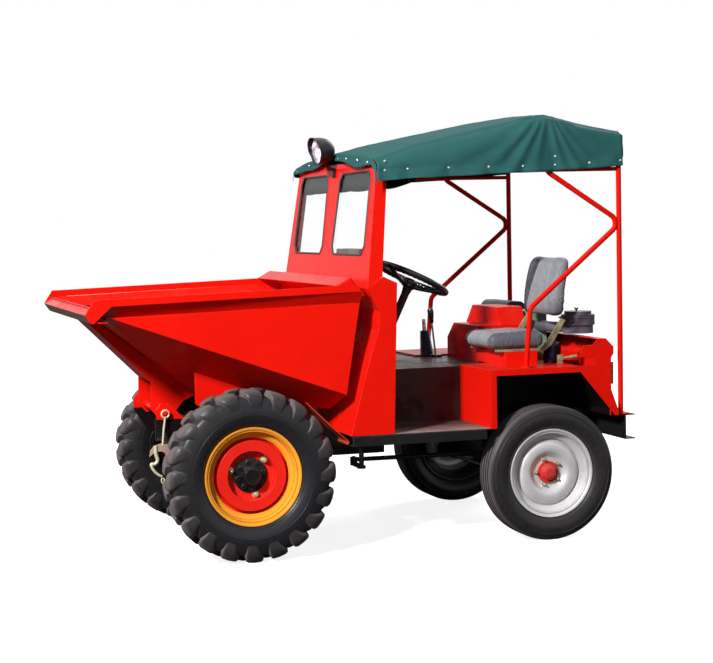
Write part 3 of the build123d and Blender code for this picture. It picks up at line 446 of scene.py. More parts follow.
def build_bar_ring():
    """Bars in a ring about a wheel's axle: turned copies of one bar, joined and given their rubber."""
    web, given = geometry_group("bars_in_a_ring", Count="Int", First_Turn="Float")
    line = web.node("GeometryNodeMeshLine", in_Count=given["Count"], in_Offset=(0, 0, 0))
    share = web.math("DIVIDE", web.node("GeometryNodeInputIndex").outputs[0], given["Count"])
    spin = web.node("ShaderNodeCombineXYZ", in_Y=web.plus(web.times(share, 2 * pi), given["First Turn"]))
    copies = web.node("GeometryNodeInstanceOnPoints", in_Points=line.outputs[0],
                      in_Instance=given["Geometry"], in_Rotation=spin.outputs[0])
    return end_group(web, copies, given["Material"])


def settled(piece):
    """A piece's mesh with its modifiers taken into it; the modifiers go."""
    bpy.context.view_layer.update()
    mesh = bpy.data.meshes.new_from_object(piece.evaluated_get(bpy.context.evaluated_depsgraph_get()))
    piece.modifiers.clear()
    return mesh


def raised(mesh, tree, **values):
    """Runs a geometry tree on a mesh and returns the result as a plain mesh."""
    holder = linked("raising", mesh)
    modifier = holder.modifiers.new("raise", "NODES")
    modifier.node_group = tree
    for item in tree.interface.items_tree:
        if item.in_out == "INPUT" and item.name.replace(" ", "_") in values:
            modifier[item.identifier] = values[item.name.replace(" ", "_")]
    ready = settled(holder)
    bpy.data.objects.remove(holder)
    return ready


def joined(first, *others):
    """Several meshes made one, with the first one's materials."""
    made = bmesh.new()
    for mesh in (first, *others):
        made.from_mesh(mesh)
    made.to_mesh(first)
    made.free()
    return first


def front_bar(side, radius):
    """One bar, lofted along the casing: slim at the middle, widest on the shoulder, fading on the wall."""
    # across, depth below the top of the tread, way the casing faces, height, half width, lead
    stations = [(-0.003, 0.026, 0.00, 0.0245, 0.0190, 0.000), (0.016, 0.026, 0.00, 0.0260, 0.0270, 0.004),
                (0.038, 0.0262, 0.03, 0.0262, 0.0360, 0.012), (0.057, 0.028, 0.20, 0.0262, 0.0410, 0.020),
                (0.070, 0.034, 0.55, 0.0235, 0.0400, 0.027), (0.0795, 0.045, 0.95, 0.0160, 0.0345, 0.033),
                (0.0865, 0.060, 1.22, 0.0080, 0.0290, 0.037), (0.0905, 0.078, 1.38, 0.0030, 0.0240, 0.040),
                (0.0930, 0.096, 1.46, 0.0002, 0.0180, 0.042)]
    # share of the half width and of the height, over the bar from its foot to its middle
    flank = [(1.17, -0.08), (1.07, 0.50), (0.97, 0.86), (0.70, 1.01)]
    section = [(-w, h) for w, h in flank] + [(0.0, 1.06)] + flank[::-1]
    rows = []
    for y, depth, tilt, tall, wide, lead in stations:
        row = []
        for spread, level in section:
            at_r = min(radius, radius - depth + cos(tilt) * tall * level)
            turn = (spread * wide - lead) / radius
            row.append((at_r * sin(turn), side * (y + sin(tilt) * tall * level), at_r * cos(turn)))
        rows.append(row)
    return skin(rows, capped=True)


def ringed(mesh, centre, rings, thick):
    """Adds fine moulded rings to both walls of a tyre, each at (radius, how far out)."""
    for ring_r, ring_y in rings:
        for out in (1, -1):
            joined(mesh, lathe([(out * (ring_y + thick * cos(a)), ring_r + thick * 1.2 * sin(a))
                                for a in turns(6)], centre))
    return mesh


def wheel_place(node):
    """Middle, radius and half width of a wheel's tyre."""
    low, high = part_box(node)
    return (low + high) / 2, (high.x - low.x) / 2, (high.y - low.y) / 2


sides = (("left", 1), ("right", -1))
bars_a_row, first_bar = 20, 0.05
bar_ring = build_bar_ring()
drive_rubber = rubber("drive_rubber", 0.30, 0.3, 0.32, 0.75)
wall_rubber = rubber("wall_rubber", 0.04, 0.2, 0.33, 0.12)
for side_name, side in sides:
    node, body = "tyre_front_" + side_name, "wheel_front_" + side_name
    centre, radius, _ = wheel_place(node)
    wall = curve_through([(-0.0725, 0.2032), (-0.0738, 0.224), (-0.086, 0.243), (-0.0945, 0.268), (-0.0958, 0.290),
                          (-0.0925, 0.312), (-0.087, radius - 0.057), (-0.0785, radius - 0.040),
                          (-0.064, radius - 0.030), (-0.045, radius - 0.0265), (0, radius - 0.026)], 4)
    casing = ringed(lathe(wall + mirrored(wall[:-1]), centre), centre, ((0.236, 0.081), (0.279, 0.0945)), 0.0018)
    rows = [raised(front_bar(row_side, radius), bar_ring, Count=bars_a_row, First_Turn=first, Material=drive_rubber)
            for row_side, first in ((1, first_bar), (-1, first_bar + pi / bars_a_row))]
    bars = joined(*rows)
    bars.transform(Matrix.Translation(centre))
    shown("drive_tyre_" + side_name, casing, wall_rubber, 40, (node,), body)
    shown("drive_bars_" + side_name, bars, drive_rubber, 50, body=body)


# ------------ rear tyres
# Plain ribbed tyres for the steered axle: five ribs parted by straight moulded grooves, rounded
# shoulders and a plain wall with two fine rings.

rib_rubber = rubber("rib_rubber", 0.13, 0.2, 0.32, 0.75)
for side_name, side in sides:
    node = "tyre_rear_" + side_name
    centre, radius, half = wheel_place(node)
    wall = curve_through([(-0.0568, 0.1902), (-0.0575, 0.211), (-0.069, 0.228), (-half, 0.256),
                          (-half + 0.002, radius - 0.034), (-half + 0.0105, radius - 0.012),
                          (-0.056, radius - 0.002), (-0.050, radius)], 4)
    grooves = [(middle + across, radius - deep) for middle in (-0.040, -0.0135, 0.0135, 0.040)
               for across, deep in ((-0.0055, 0), (-0.0035, 0.009), (0.0035, 0.009), (0.0055, 0))]
    casing = ringed(lathe(wall + grooves + mirrored(wall), centre), centre,
                    ((0.222, 0.063), (radius - 0.030, half - 0.0015)), 0.0014)
    shown("ribbed_tyre_" + side_name, casing, rib_rubber, 28, (node,), "wheel_rear_" + side_name)


# ------------ wheels
# Front: an orange-yellow pressed rim, a red pressed centre and a black hub with a ring of bolts and
# three long studs. Rear: a silver pressed wheel with a red grease cap held between five studs.

orange = coated("orange_enamel", (0.87, 0.34, 0.028), (0.5, 0.3, 0.1), 0.14, 0.3, 0.1, 0.3, 0.08, specular=0.06)
disc_red = coated("disc_red", (0.80, 0.016, 0.008), (0.4, 0.1, 0.08), 0.12, 0.3, 0.1, 0.36, 0.08, clear=0.1)
hub_black = coated("hub_black", (0.008, 0.008, 0.009), (0.18, 0.16, 0.15), 0.4, 0.5, 0.2, 0.3, 0.25, clear=0.1)
silver = coated("silver_paint", (0.68, 0.655, 0.665), (0.35, 0.33, 0.31), 0.16, 0.3, 0.12, 0.38, 0.08,
                metallic=0.25, specular=0.4)
cap_red = coated("cap_red", (0.70, 0.042, 0.034), (0.4, 0.1, 0.08), 0.3, 0.3, 0.3, 0.3, 0.08, specular=0.4)
# painted shade: near-black over the inboard side of the rims
black_coat_and_painted_shade(orange, 0.600, no_limit)
black_coat_and_painted_shade(silver, 0.622, no_limit)
# the side against the tyre and, smoothly curved but for its last point, the barrel, as (y, r)
rims = {"front": ([(0.0797, 0.2225), (0.0732, 0.2225), (0.0727, 0.2029), (0.048, 0.2029), (0.038, 0.1789)],
                  [(0.0800, 0.2180), (0.0765, 0.2105), (0.0680, 0.2030), (0.054, 0.1975), (0.042, 0.1955),
                   (0.032, 0.1732)], orange, "orange"),
        "rear": ([(0.0642, 0.2095), (0.0575, 0.2095), (0.0571, 0.1899), (0.034, 0.1899), (0.024, 0.1660)],
                 [(0.0645, 0.2055), (0.0615, 0.1985), (0.0540, 0.1915), (0.044, 0.1865), (0.034, 0.1835),
                  (0.022, 0.1602)], silver, "silver")}
dish_face = [(0.0125, 0.0395), (0.0125, 0.066), (0.0150, 0.075), (0.0225, 0.085), (0.0310, 0.096), (0.0345, 0.108),
             (0.0345, 0.124), (0.0320, 0.138), (0.0240, 0.149), (0.0120, 0.1595), (0.0100, 0.163)]
dish_wall = 0.0055
for side_name, side in sides:
    # painted shade: near-black on the inboard side of the red centres and grease caps
    dress(black_coat_and_painted_shade(disc_red.copy(), 0.606, no_limit), "disc_front_" + side_name)
    dress(black_coat_and_painted_shade(cap_red.copy(), 0.628, no_limit), "hub_rear_" + side_name)
    dress(hub_black, "hub_front_" + side_name)
    for end, (tyre_side, barrel, paint, slot) in rims.items():
        centre = wheel_place("tyre_" + end + "_" + side_name)[0]
        smooth = curve_through(barrel[:5], 4) + barrel[5:]
        mesh = lathe(tyre_side + mirrored(tyre_side) + mirrored(smooth[::-1]) + smooth[::-1], centre)
        if end == "rear":
            dish = curve_through(dish_face, 3)
            dish = [(side * y, r) for y, r in dish] + [(side * (y - dish_wall), r) for y, r in dish[::-1]]
            joined(mesh, lathe(dish, centre))
        wheel = end + "_" + side_name
        shown(end + "_rim_" + side_name, mesh, paint, 32, ("rim_" + wheel,), "wheel_" + wheel)


def build_fasteners():
    """One piece set on each point, facing along the point's own direction and turned at random."""
    web, given = geometry_group("fasteners", Piece="Object", Size="Float")
    source = web.node("GeometryNodeObjectInfo", in_Object=given["Piece"])
    facing = web.node("GeometryNodeInputNamedAttribute", data_type="FLOAT_VECTOR", in_Name="facing")
    outward = web.node("FunctionNodeAlignEulerToVector", axis="Z", in_Vector=facing.outputs["Attribute"])
    chance = web.node("FunctionNodeRandomValue", data_type="FLOAT", in_Seed=3)
    web.feed(chance.inputs[3], 2 * pi)
    spin = web.node("ShaderNodeCombineXYZ", in_Z=chance.outputs[1])
    turned = web.node("FunctionNodeRotateEuler", space="LOCAL", in_Rotation=outward.outputs[0],
                      in_Rotate_By=spin.outputs[0])
    copies = web.node("GeometryNodeInstanceOnPoints", in_Points=given["Geometry"], in_Rotation=turned.outputs[0],
                      in_Instance=source.outputs["Geometry"], in_Scale=given["Size"])
    return end_group(web, copies, given["Material"])


def turned_piece(name, outline, flat_top=0.0):
    """A small turned shape about Z from (r, z) points, cut to six flats from its washer to flat_top."""
    half_flat, washer_top = pi / 6, 0.0021
    rings = []
    for r, z in outline:
        flat = washer_top < z < flat_top
        reach = [r * cos(half_flat) / cos((a + half_flat) % (2 * half_flat) - half_flat) if flat else r
                 for a in turns(12)]
        rings.append([(span * cos(a), span * sin(a), z) for span, a in zip(reach, turns(12))])
    return bpy.data.objects.new(name, skin(rings, capped=True))


def fastened(name, spots, source, material, size=1.0, body="chassis"):
    """Like fasteners on (point, facing) pairs, as one piece of a body."""
    points = bpy.data.meshes.new(name)
    points.from_pydata([tuple(p) for p, f in spots], [], [])
    facing = points.attributes.new("facing", "FLOAT_VECTOR", "POINT")
    facing.data.foreach_set("vector", [c for p, f in spots for c in f])
    heads = raised(points, fasteners, Piece=source, Size=size, Material=material)
    return shown(name, heads, material, 30, body=body)


fasteners = build_fasteners()
bolt_head = turned_piece("bolt_head", [(0.0150, 0), (0.0150, 0.002), (0.0120, 0.0022), (0.0120, 0.0085),
                                       (0.0095, 0.0100)], 0.0088)
long_nut = turned_piece("long_nut", [(0.0150, 0), (0.0150, 0.002), (0.0120, 0.0022), (0.0120, 0.013),
                                     (0.0066, 0.014), (0.0066, 0.026), (0.0048, 0.028)], 0.0132)
for side_name, side in sides:
    # name, wheel, how far out, radius of the ring, how many, first turn, piece, finish, slot, size
    for name, end, out, ring_r, count, first, source, paint, slot, size in (
            ("hub_bolts_", "front_", 0.0155, 0.058, 8, 0.2, bolt_head, hub_black, "cast", 1.15),
            ("studs_front_", "front_", 0.0075, 0.092, 3, 1.304, long_nut, zinc, "zinc", 1.1),
            ("studs_rear_", "rear_", 0.0115, 0.062, 5, 0.3, long_nut, zinc, "zinc", 0.78)):
        centre = wheel_place("tyre_" + end + side_name)[0]
        spots = [(centre + Vector((ring_r * sin(a), side * out, ring_r * cos(a))), (0, side, 0))
                 for a in turns(count, first)]
        fastened(name + side_name, spots, source, paint, size, "wheel_" + end + side_name)


# ------------ canopy
# One teal canvas sheet pulled over the bows and snapped to the frame along its side flaps, with a
# short scalloped valance in front and one behind. Its ends fold deeply where the highest bow turns.

def build_canvas_group():
    """Woven proofed canvas: a fine weave, faded and dusty in broad patches."""
    web, given, result = shader_group("canvas_weave", ("Dyed",), ("Threads", "Fade"))
    cross = web.axes(web.node("ShaderNodeUVMap").outputs[0])
    weave = web.times(*[web.math("SINE", web.times(cross[axis], given["Threads"], 2 * pi))
                        for axis in ("X", "Y")])
    fine = web.ranged(web.speckle(60.0, 6.0, 0.7), 0.3, 0.7, -0.5, 0.5)
    level = web.plus(1.0, web.times(fine, 0.12), web.times(weave, 0.05))
    tone = web.node("ShaderNodeHueSaturation", in_Color=given["Dyed"], in_Value=level)
    faded = web.times(web.ranged(web.speckle(3.0, 4.0, 0.6), 0.35, 0.7), given["Fade"])
    web.fill(result, Color=web.mixed(faded, tone.outputs[0], (0.06, 0.19, 0.19, 1)),
             Roughness=web.ranged(fine, -0.5, 0.5, 0.62, 0.8),
             Normal=web.bump(0.0008, 0.35, web.plus(weave, web.times(fine, 2.0))))
    return web.tree


canvas_group = build_canvas_group()


def cloth_finish(name, dyed, threads, fade):
    """A woven finish made from the canvas group."""
    return grouped(name, canvas_group, dict(Dyed=(*dyed, 1), Threads=threads, Fade=fade), Specular_IOR_Level=0.12)


teal_canvas = cloth_finish("teal_canvas", (0.022, 0.108, 0.104), 700.0, 0.20)
lining = cloth_finish("canvas_lining", (0.012, 0.022, 0.022), 700.0, 0.1)

canvas_low, canvas_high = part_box("canopy")
front_x, rear_x, top_z = canvas_high.x, canvas_low.x, canvas_high.z
ridge_x = rear_x + 0.3848
half_width = canvas_high.y - 0.004
# along, then below the top the crown, top of the flap and hem, then how round the shoulder is
canvas_bows = [(x, top_z - crown, top_z - eave, top_z - hem, shoulder) for x, crown, eave, hem, shoulder in (
    (front_x, 0.1754, 0.228, 0.323, 0.045), (ridge_x + 0.640, 0.121, 0.166, 0.311, 0.080),
    (ridge_x + 0.300, 0.058, 0.090, 0.301, 0.090), (ridge_x + 0.10, 0.016, 0.038, 0.294, 0.065),
    (ridge_x, 0.001, 0.021, 0.291, 0.045), (ridge_x - 0.05, 0.012, 0.032, 0.287, 0.055),
    (ridge_x - 0.20, 0.045, 0.062, 0.276, 0.065), (rear_x, 0.084, 0.097, 0.262, 0.050))]
# along and height over the hem
snaps = [(-0.065, 0.044), (-0.065, 0.086), (-0.174, 0.044), (-0.373, 0.040), (-0.568, 0.036), (-0.739, 0.032),
         (ridge_x - 0.035, 0.030), (ridge_x - 0.035, 0.070), (ridge_x - 0.21, 0.026), (rear_x + 0.012, 0.024)]
# degrees from straight down, width in degrees and height
folds = [(16, 9, 0.011), (37, 8, 0.015), (57, 7, 0.012), (75, 5, 0.007), (-15, 7, 0.013), (-32, 6, 0.015),
         (-48, 6, 0.011), (-66, 6, 0.009)]
fold_reach_ahead, fold_reach_behind = 0.95, 0.62


def bow_at(x):
    """Crown, flap top, hem and shoulder of the canvas at a place along it."""
    for ahead, behind in zip(canvas_bows, canvas_bows[1:]):
        if x >= behind[0] or behind is canvas_bows[-1]:
            t = (ahead[0] - x) / (ahead[0] - behind[0])
            return [a + (b - a) * t for a, b in zip(ahead[1:], behind[1:])]


def canvas_section(x):
    """Points (y, z, way down the flap) over the canvas from its left hem to its right one."""
    crown, eave, hem, shoulder = bow_at(x)
    flap_count, bend_count, top_count = 16, 9, 32
    bulge = crown - eave
    arc_r = (half_width * half_width + bulge * bulge) / (2 * bulge)
    lean = asin(half_width / arc_r) * (1 - shoulder * 1.3 / half_width)
    arc = [lean * (1 - k / top_count) for k in range(top_count + 1)]
    top = [(arc_r * sin(a), crown - arc_r * (1 - cos(a))) for a in arc]
    flap = eave - shoulder - hem
    left = [(half_width, hem + flap * k / flap_count, (eave - hem) - flap * k / flap_count)
            for k in range(flap_count + 1)]
    for t in (k / bend_count for k in range(1, bend_count)):
        a, b, c = (1 - t) ** 2, 2 * t * (1 - t), t * t
        left.append(((a + b) * half_width + c * top[0][0], a * (eave - shoulder) + b * eave + c * top[0][1],
                     shoulder * (1 - t)))
    left += [(y, z, -k / top_count * half_width) for k, (y, z) in enumerate(top)]
    return left + [(-y, z, down) for y, z, down in left[-2::-1]]


def crease(x, down, side):
    """How far the canvas stands out of its smooth shape: folds fanning from the high bow, slack, snaps."""
    along, drop = x - ridge_x, down + 0.02
    out = 0.0
    if drop > 0:
        far_off = hypot(along, drop)
        angle = degrees(atan2(along, drop))
        reach = fold_reach_behind if along < 0 else fold_reach_ahead
        rise = min(1.0, max(0.0, (far_off - 0.02) / 0.10)) * max(0.0, 1 - far_off / reach) ** 0.7
        out = sum(height * rise * exp(-((angle - middle) / width) ** 2) for middle, width, height in folds)
    out += 0.0045 * noise.noise(Vector((x * 3.1, down * 4.0 + side * 7.0, side * 3.0)))
    out += 0.0015 * noise.noise(Vector((x * 14, down * 12, side)))
    if down > 0:
        over_hem = bow_at(x)[1] - bow_at(x)[2] - down
        near = min(abs(x - s) for s, h in snaps)
        out += 0.010 * min(1.0, near / 0.07) * max(0.0, 1 - over_hem / 0.05)
        out -= sum(0.0045 * exp(-((x - s) ** 2 + (over_hem - h) ** 2) / 0.00045) for s, h in snaps)
    return out


def cloth_mesh(rows, uvs):
    """A sheet from rows of points, with its flat size in metres as the UV map."""
    mesh = bpy.data.meshes.new("sheet")
    wide = len(rows[0])
    faces = [(i * wide + j, i * wide + j + 1, (i + 1) * wide + j + 1, (i + 1) * wide + j)
             for i in range(len(rows) - 1) for j in range(wide - 1)]
    mesh.from_pydata([tuple(p) for row in rows for p in row], [], faces)
    layer = mesh.uv_layers.new(name="cloth")
    flat = [uv for row in uvs for uv in row]
    for loop in mesh.loops:
        layer.data[loop.index].uv = flat[loop.vertex_index]
    return mesh


def thickened(piece, thick, offset, second=None):
    """Gives a sheet its thickness for good, with another finish on its inner side; returns its area."""
    wall = piece.modifiers.new("wall", "SOLIDIFY")
    wall.thickness = thick
    wall.offset = offset
    if second is not None:
        piece.data.materials.append(second)
        wall.material_offset = 1
        wall.material_offset_rim = 0
    piece.data = settled(piece)
    return sum(polygon.area for polygon in piece.data.polygons) / 2


steps = 150
columns = [front_x + (rear_x - front_x) * i / steps for i in range(steps + 1)]
sections = [canvas_section(x) for x in columns]
smooth_rows = [[Vector((x, y, z)) for y, z, down in section] for x, section in zip(columns, sections)]
rows, uvs = [], []
for i, (x, section, here) in enumerate(zip(columns, sections, smooth_rows)):
    row, uv, run = [], [], 0.0
    for j, (y, z, down) in enumerate(section):
        lengthwise = smooth_rows[min(i + 1, steps)][j] - smooth_rows[max(i - 1, 0)][j]
        sideways = here[min(j + 1, len(here) - 1)] - here[max(j - 1, 0)]
        normal = lengthwise.cross(sideways).normalized()
        if normal.z * abs(z) + normal.y * y < 0:
            normal = -normal
        side = 1 if y > 0 else -1
        at = here[j] + normal * (crease(x, down, side) - (0.014 if down > 0 else 0.004))
        if down > 0:
            near_hem = max(0.0, 1 - (z - section[0][1]) / 0.05)
            at.z += near_hem * 0.006 * noise.noise(Vector((x * 5.5, side * 9.0, 0.3)))
        if down > 0 and side < 0 and x > front_x - 0.35:
            # the right front corner is pulled up under the lamp's side
            at.z += 0.055 * (1 - (front_x - x) / 0.35) * down / section[0][2]
        row.append(at)
        if j:
            run += (here[j] - here[j - 1]).length
        uv.append((run, x))
    rows.append(row)
    uvs.append(uv)
canvas_thick = 0.0016
canvas = shown("canopy_canvas", cloth_mesh(rows[::-1], uvs[::-1]), teal_canvas, 60, ("canopy",))
canvas_area = thickened(canvas, canvas_thick, -1.0, lining)
front_edge, rear_edge = [[p for p in row if abs(p.y) < 0.694] for row in (rows[0], rows[-1])]


def edge_height(edge, y):
    """Height of the canvas over its front or rear edge, at a distance across."""
    return min(edge, key=lambda p: abs(p.y - y)).z


valance_parts = []
across_count, down_count = 90, 12
# across from and to, the edge it hangs from, how far out, how deep, how much deeper in its middle, waves
for y0, y1, edge, out, depth, belly, wave in ((0.075, 0.690, front_edge, 0.004, 0.026, 0.028, 0.002),
                                              (-0.690, 0.000, front_edge, 0.004, 0.026, 0.022, 0.002),
                                              (-0.675, 0.675, rear_edge, -0.004, 0.100, 0.0, 0.005)):
    hanging, flat = [], []
    for share in (k / across_count for k in range(across_count + 1)):
        y = y0 + (y1 - y0) * share
        top = edge_height(edge, y) + 0.001
        drop = depth + belly * sin(pi * share) ** 1.5 + 0.003 * sin(y * 19)
        column = []
        for t in (k / down_count for k in range(down_count + 1)):
            ripple = wave * t * sin(y * 21 + 1.0) + 0.003 * noise.noise(Vector((y * 9, t * 2, 1.0)))
            column.append(Vector((edge[0].x + out + out * 1.5 * t + ripple, y, top - drop * t)))
        hanging.append(column)
        flat.append([(y, p.z) for p in column])
    valance_parts.append(cloth_mesh(hanging, flat))
valance = shown("canopy_valances", joined(*valance_parts), teal_canvas, 60)
valance_area = thickened(valance, canvas_thick, 0.0)

snap_head = turned_piece("snap_head", [(0.0056, 0), (0.0056, 0.0010), (0.0046, 0.0026), (0.0022, 0.0034)])
nickel = coated("snap_nickel", (0.80, 0.80, 0.78), uneven=0.2, wear=0.2, dust=0.1, gloss=0.28, peel=0.05,
                fold=0.001, metallic=0.7)
spots = []
for name, side in sides:
    for x, height in snaps:
        crown, eave, hem, shoulder = bow_at(x)
        out = crease(x, (eave - hem) - height, side) - 0.013
        spots.append(((x, side * (half_width + out), hem + height), (0, side, 0)))
for y in (0.57, 0.42, 0.25, 0.12, -0.18, -0.38, -0.60):
    spots.append(((front_x + 0.0075, y, edge_height(front_edge, y) - 0.020), (1, 0, 0)))
fastened("canopy_snaps", spots, snap_head, nickel)


# ------------ seat
# A low-backed tractor seat: foam under vinyl, pale grey in the middle and dark navy at the sides,
# sewn along two seams, still in its clear wrapping. Both pads bolt to a zinc-plated hinged frame.

def padded_block(low, high, corner):
    """A closed rounded block, ready to be filled out."""
    made = bmesh.new()
    bmesh.ops.create_cube(made, size=2.0)
    bmesh.ops.subdivide_edges(made, edges=made.edges, cuts=11, use_grid_fill=True)
    centre, reach = (low + high) / 2, (high - low) / 2
    for vert in made.verts:
        inner = Vector([max(-1 + corner / r, min(1 - corner / r, c)) * r for c, r in zip(vert.co, reach)])
        away = Vector([c * r for c, r in zip(vert.co, reach)]) - inner
        if away.length > 1e-9:
            away = away.normalized() * corner
        vert.co = centre + inner + away
    mesh = bpy.data.meshes.new("pad")
    made.to_mesh(mesh)
    made.free()
    return mesh


def filled(mesh, limit):
    """Swells a padded shape with a short cloth run, and leaves it a plain mesh."""
    soft = linked("filling", mesh)
    remesh = soft.modifiers.new("even", "REMESH")
    remesh.mode = "VOXEL"
    remesh.voxel_size = 0.007
    soft.data = settled(soft)
    start = [v.co.copy() for v in soft.data.vertices]
    settings = soft.modifiers.new("cloth", "CLOTH").settings
    settings.effector_weights.gravity = 0.0
    for key, value in (("use_pressure", True), ("uniform_pressure_force", 4.0), ("tension_stiffness", 12.0),
                       ("bending_stiffness", 0.6)):
        setattr(settings, key, value)
    scene, last_frame = bpy.context.scene, 20
    scene.frame_start, scene.frame_end = 1, last_frame
    for step in range(1, last_frame + 1):
        scene.frame_set(step)
    swollen = settled(soft)
    bpy.data.objects.remove(soft)
    for vert, was in zip(swollen.vertices, start):
        moved = vert.co - was
        if moved.length > limit:
            vert.co = was + moved.normalized() * limit
    scene.frame_set(1)
    return swollen


seat_y, half_seat, seam_across = 0.370, 0.2, 0.128


def build_vinyl(name, edge, lean):
    """Seat vinyl: pale middle and navy sides, two sewn seams, wrinkled clear wrap over it all; on the back the dark
    part reaches past the far seam, further across towards the top.
    """
    made, web, shader = finish(name)
    spot = web.axes(web.where())
    far_side = web.math("SUBTRACT", seat_y, spot["Y"])
    # on the back the dark part's edge slants, reaching further across towards the top
    slant = web.times(web.math("SUBTRACT", spot["Z"], 1.230), lean)
    dark_far_part = web.ranged(web.plus(far_side, slant), edge, edge + 0.003)
    near_side = web.times(web.ranged(far_side, -0.150, -0.120, 1.0, 0.0),
                          web.ranged(spot["Z"], 1.06, 1.14, 1.0, 0.3), 0.85)
    mottled = web.ranged(web.speckle(24.0, 6.0, 0.7), 0.3, 0.7)
    pale, dark = [web.mixed(mottled, (*tone, 1), (*[c * other for c in tone], 1))
                  for tone, other in (((0.34, 0.35, 0.38), 0.72), ((0.016, 0.018, 0.034), 1.9))]
    grey = web.mixed(near_side, pale, (0.085, 0.088, 0.115, 1))
    streaks = web.node("ShaderNodeMapping", in_Vector=web.where(), in_Scale=(1.0, 1.0, 0.45))
    wrinkle = web.node("ShaderNodeTexNoise", in_Vector=streaks.outputs[0], in_Scale=26.0, in_Detail=3.0,
                       in_Distortion=1.6).outputs["Fac"]
    ridges = web.ranged(web.math("ABSOLUTE", web.math("SUBTRACT", wrinkle, 0.5)), 0.0, 0.12, 1.0, 0.0)
    off_seam = web.math("ABSOLUTE", web.math("SUBTRACT", web.math("ABSOLUTE", far_side), seam_across))
    seam = web.ranged(off_seam, 0.0, 0.006, -2.2, 0.0)
    grain = web.times(web.speckle(520.0, 2.0), 0.25)
    web.fill(shader, Base_Color=web.mixed(dark_far_part, grey, dark), Specular_IOR_Level=0.12, Coat_Weight=0.03,
             Coat_Roughness=0.15, Roughness=web.ranged(wrinkle, 0.35, 0.65, 0.22, 0.42),
             Normal=web.bump(0.0022, 0.55, web.plus(ridges, seam, grain)))
    return made


low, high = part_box("seat_cushion")
cushion = padded_block(low + Vector((0.012, 0.010, 0.004)), high - Vector((0.012, 0.010, 0.014)), 0.030)
for vert in cushion.vertices:
    p = vert.co
    t = (p.x - low.x) / (high.x - low.x)
    across = (p.y - seat_y) / half_seat
    if p.z > (low.z + high.z) / 2:
        p.z += 0.010 * (1 - across * across) - 0.012 * t * t + 0.012 * max(0.0, abs(across) - 0.62) / 0.38
    p.y = seat_y + (p.y - seat_y) * (1 - 0.10 * t ** 4)
low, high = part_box("seat_back")
back_foot_x, back_lean, pad_fill = -0.978, 0.040, 0.007
back = padded_block(Vector((-0.036, low.y + 0.010, low.z + 0.006)),
                    Vector((0.030, high.y - 0.010, high.z - 0.012)), 0.028)
for vert in back.vertices:
    p = vert.co
    t = (p.z - low.z) / (high.z - low.z)
    across = (p.y - seat_y) / half_seat
    if p.x > 0:
        p.x += 0.012 * (1 - across * across) - 0.020 * across ** 2 * (t - 0.3)
    p.y = seat_y + (p.y - seat_y) * (0.98 - 0.16 * max(0.0, (t - 0.80) / 0.20) ** 2 - 0.05 * max(0.0, 1 - t * 3))
    p.x += back_foot_x - back_lean * t + 0.010 * sin(pi * t)
for name, mesh, vinyl in (("cushion", cushion, build_vinyl("cushion_vinyl", 0.120, 0.0)),
                          ("back", back, build_vinyl("back_vinyl", 0.040, 0.48))):
    pad = shown("seat_" + name + "_pad", filled(mesh, pad_fill), vinyl, 80, ("seat_" + name,))


# ------------ windscreen
# Two panes of clear toughened glass, each in a grey rubber channel round its opening. Light passes on
# through the glass, so nothing behind it goes dark. A black pad of spare curtain hangs behind its top.

def round_bar(points, radius, around=10, closed=False):
    """A round bar along a line of points; the radius is one value or one for each point."""
    line = [Vector(p) for p in points]
    count = len(line)
    radii = radius if isinstance(radius, (list, tuple)) else [radius] * count
    normal = None
    rings = []
    for i, at in enumerate(line):
        behind = line[i - 1] if (i or closed) else at
        ahead = line[(i + 1) % count] if (i + 1 < count or closed) else at
        way = (ahead - behind).normalized()
        if normal is None:
            normal = way.orthogonal().normalized()
        normal = (normal - way * normal.dot(way)).normalized()
        other = way.cross(normal)
        rings.append([at + (normal * cos(a) + other * sin(a)) * radii[i] for a in turns(around)])
    return skin(rows=rings, closed=closed, capped=not closed)


def build_glass(name, tint, rough):
    """Clear glass with a little dirt, that lets shadow and fill light through."""
    made, web, shader = finish(name)
    smear = web.ranged(web.speckle(7.0, 6.0, 0.7), 0.5, 0.8, rough, rough + 0.04)
    web.fill(shader, Base_Color=(*tint, 1), Transmission_Weight=1.0, IOR=1.08, Roughness=smear)
    path = web.node("ShaderNodeLightPath").outputs
    mix = web.node("ShaderNodeMixShader", in_Fac=web.math("MAXIMUM", path["Is Shadow Ray"], path["Is Diffuse Ray"]))
    web.feed(mix.inputs[1], web.tree.nodes["Principled BSDF"].outputs[0])
    web.feed(mix.inputs[2], web.node("ShaderNodeBsdfTransparent", in_Color=(*tint, 1)).outputs[0])
    web.feed(web.tree.nodes["Material Output"].inputs["Surface"], mix.outputs[0])
    return made


dress(build_glass("pane_glass", (0.985, 0.995, 0.99), 0.0), "windscreen_glass")
seal_rubber = rubber("seal_rubber", 0.9, 0.2, 0.35)
screen_low, screen_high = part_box("windscreen_frame")
screen_lean = 78.0 / 585.0


def screen_x(z):
    """Front face of the windscreen's sheet at a height."""
    return screen_high.x - (z - screen_low.z) * screen_lean


window = [(0.080, 1.400), (0.112, 1.364), (0.545, 1.364), (0.584, 1.405), (0.566, 1.715), (0.535, 1.750),
          (0.132, 1.750), (0.100, 1.715)]
seals = []
for name, side in sides:
    edge = [Vector(here).lerp(ahead, k / 8) for here, ahead in zip(window, window[1:] + window[:1])
            for k in range(8)]
    seals.append(round_bar([(screen_x(z) - 0.0005, side * y, z) for y, z in edge], 0.0052, 8, True))
shown("windscreen_seals", joined(*seals), seal_rubber, 50)

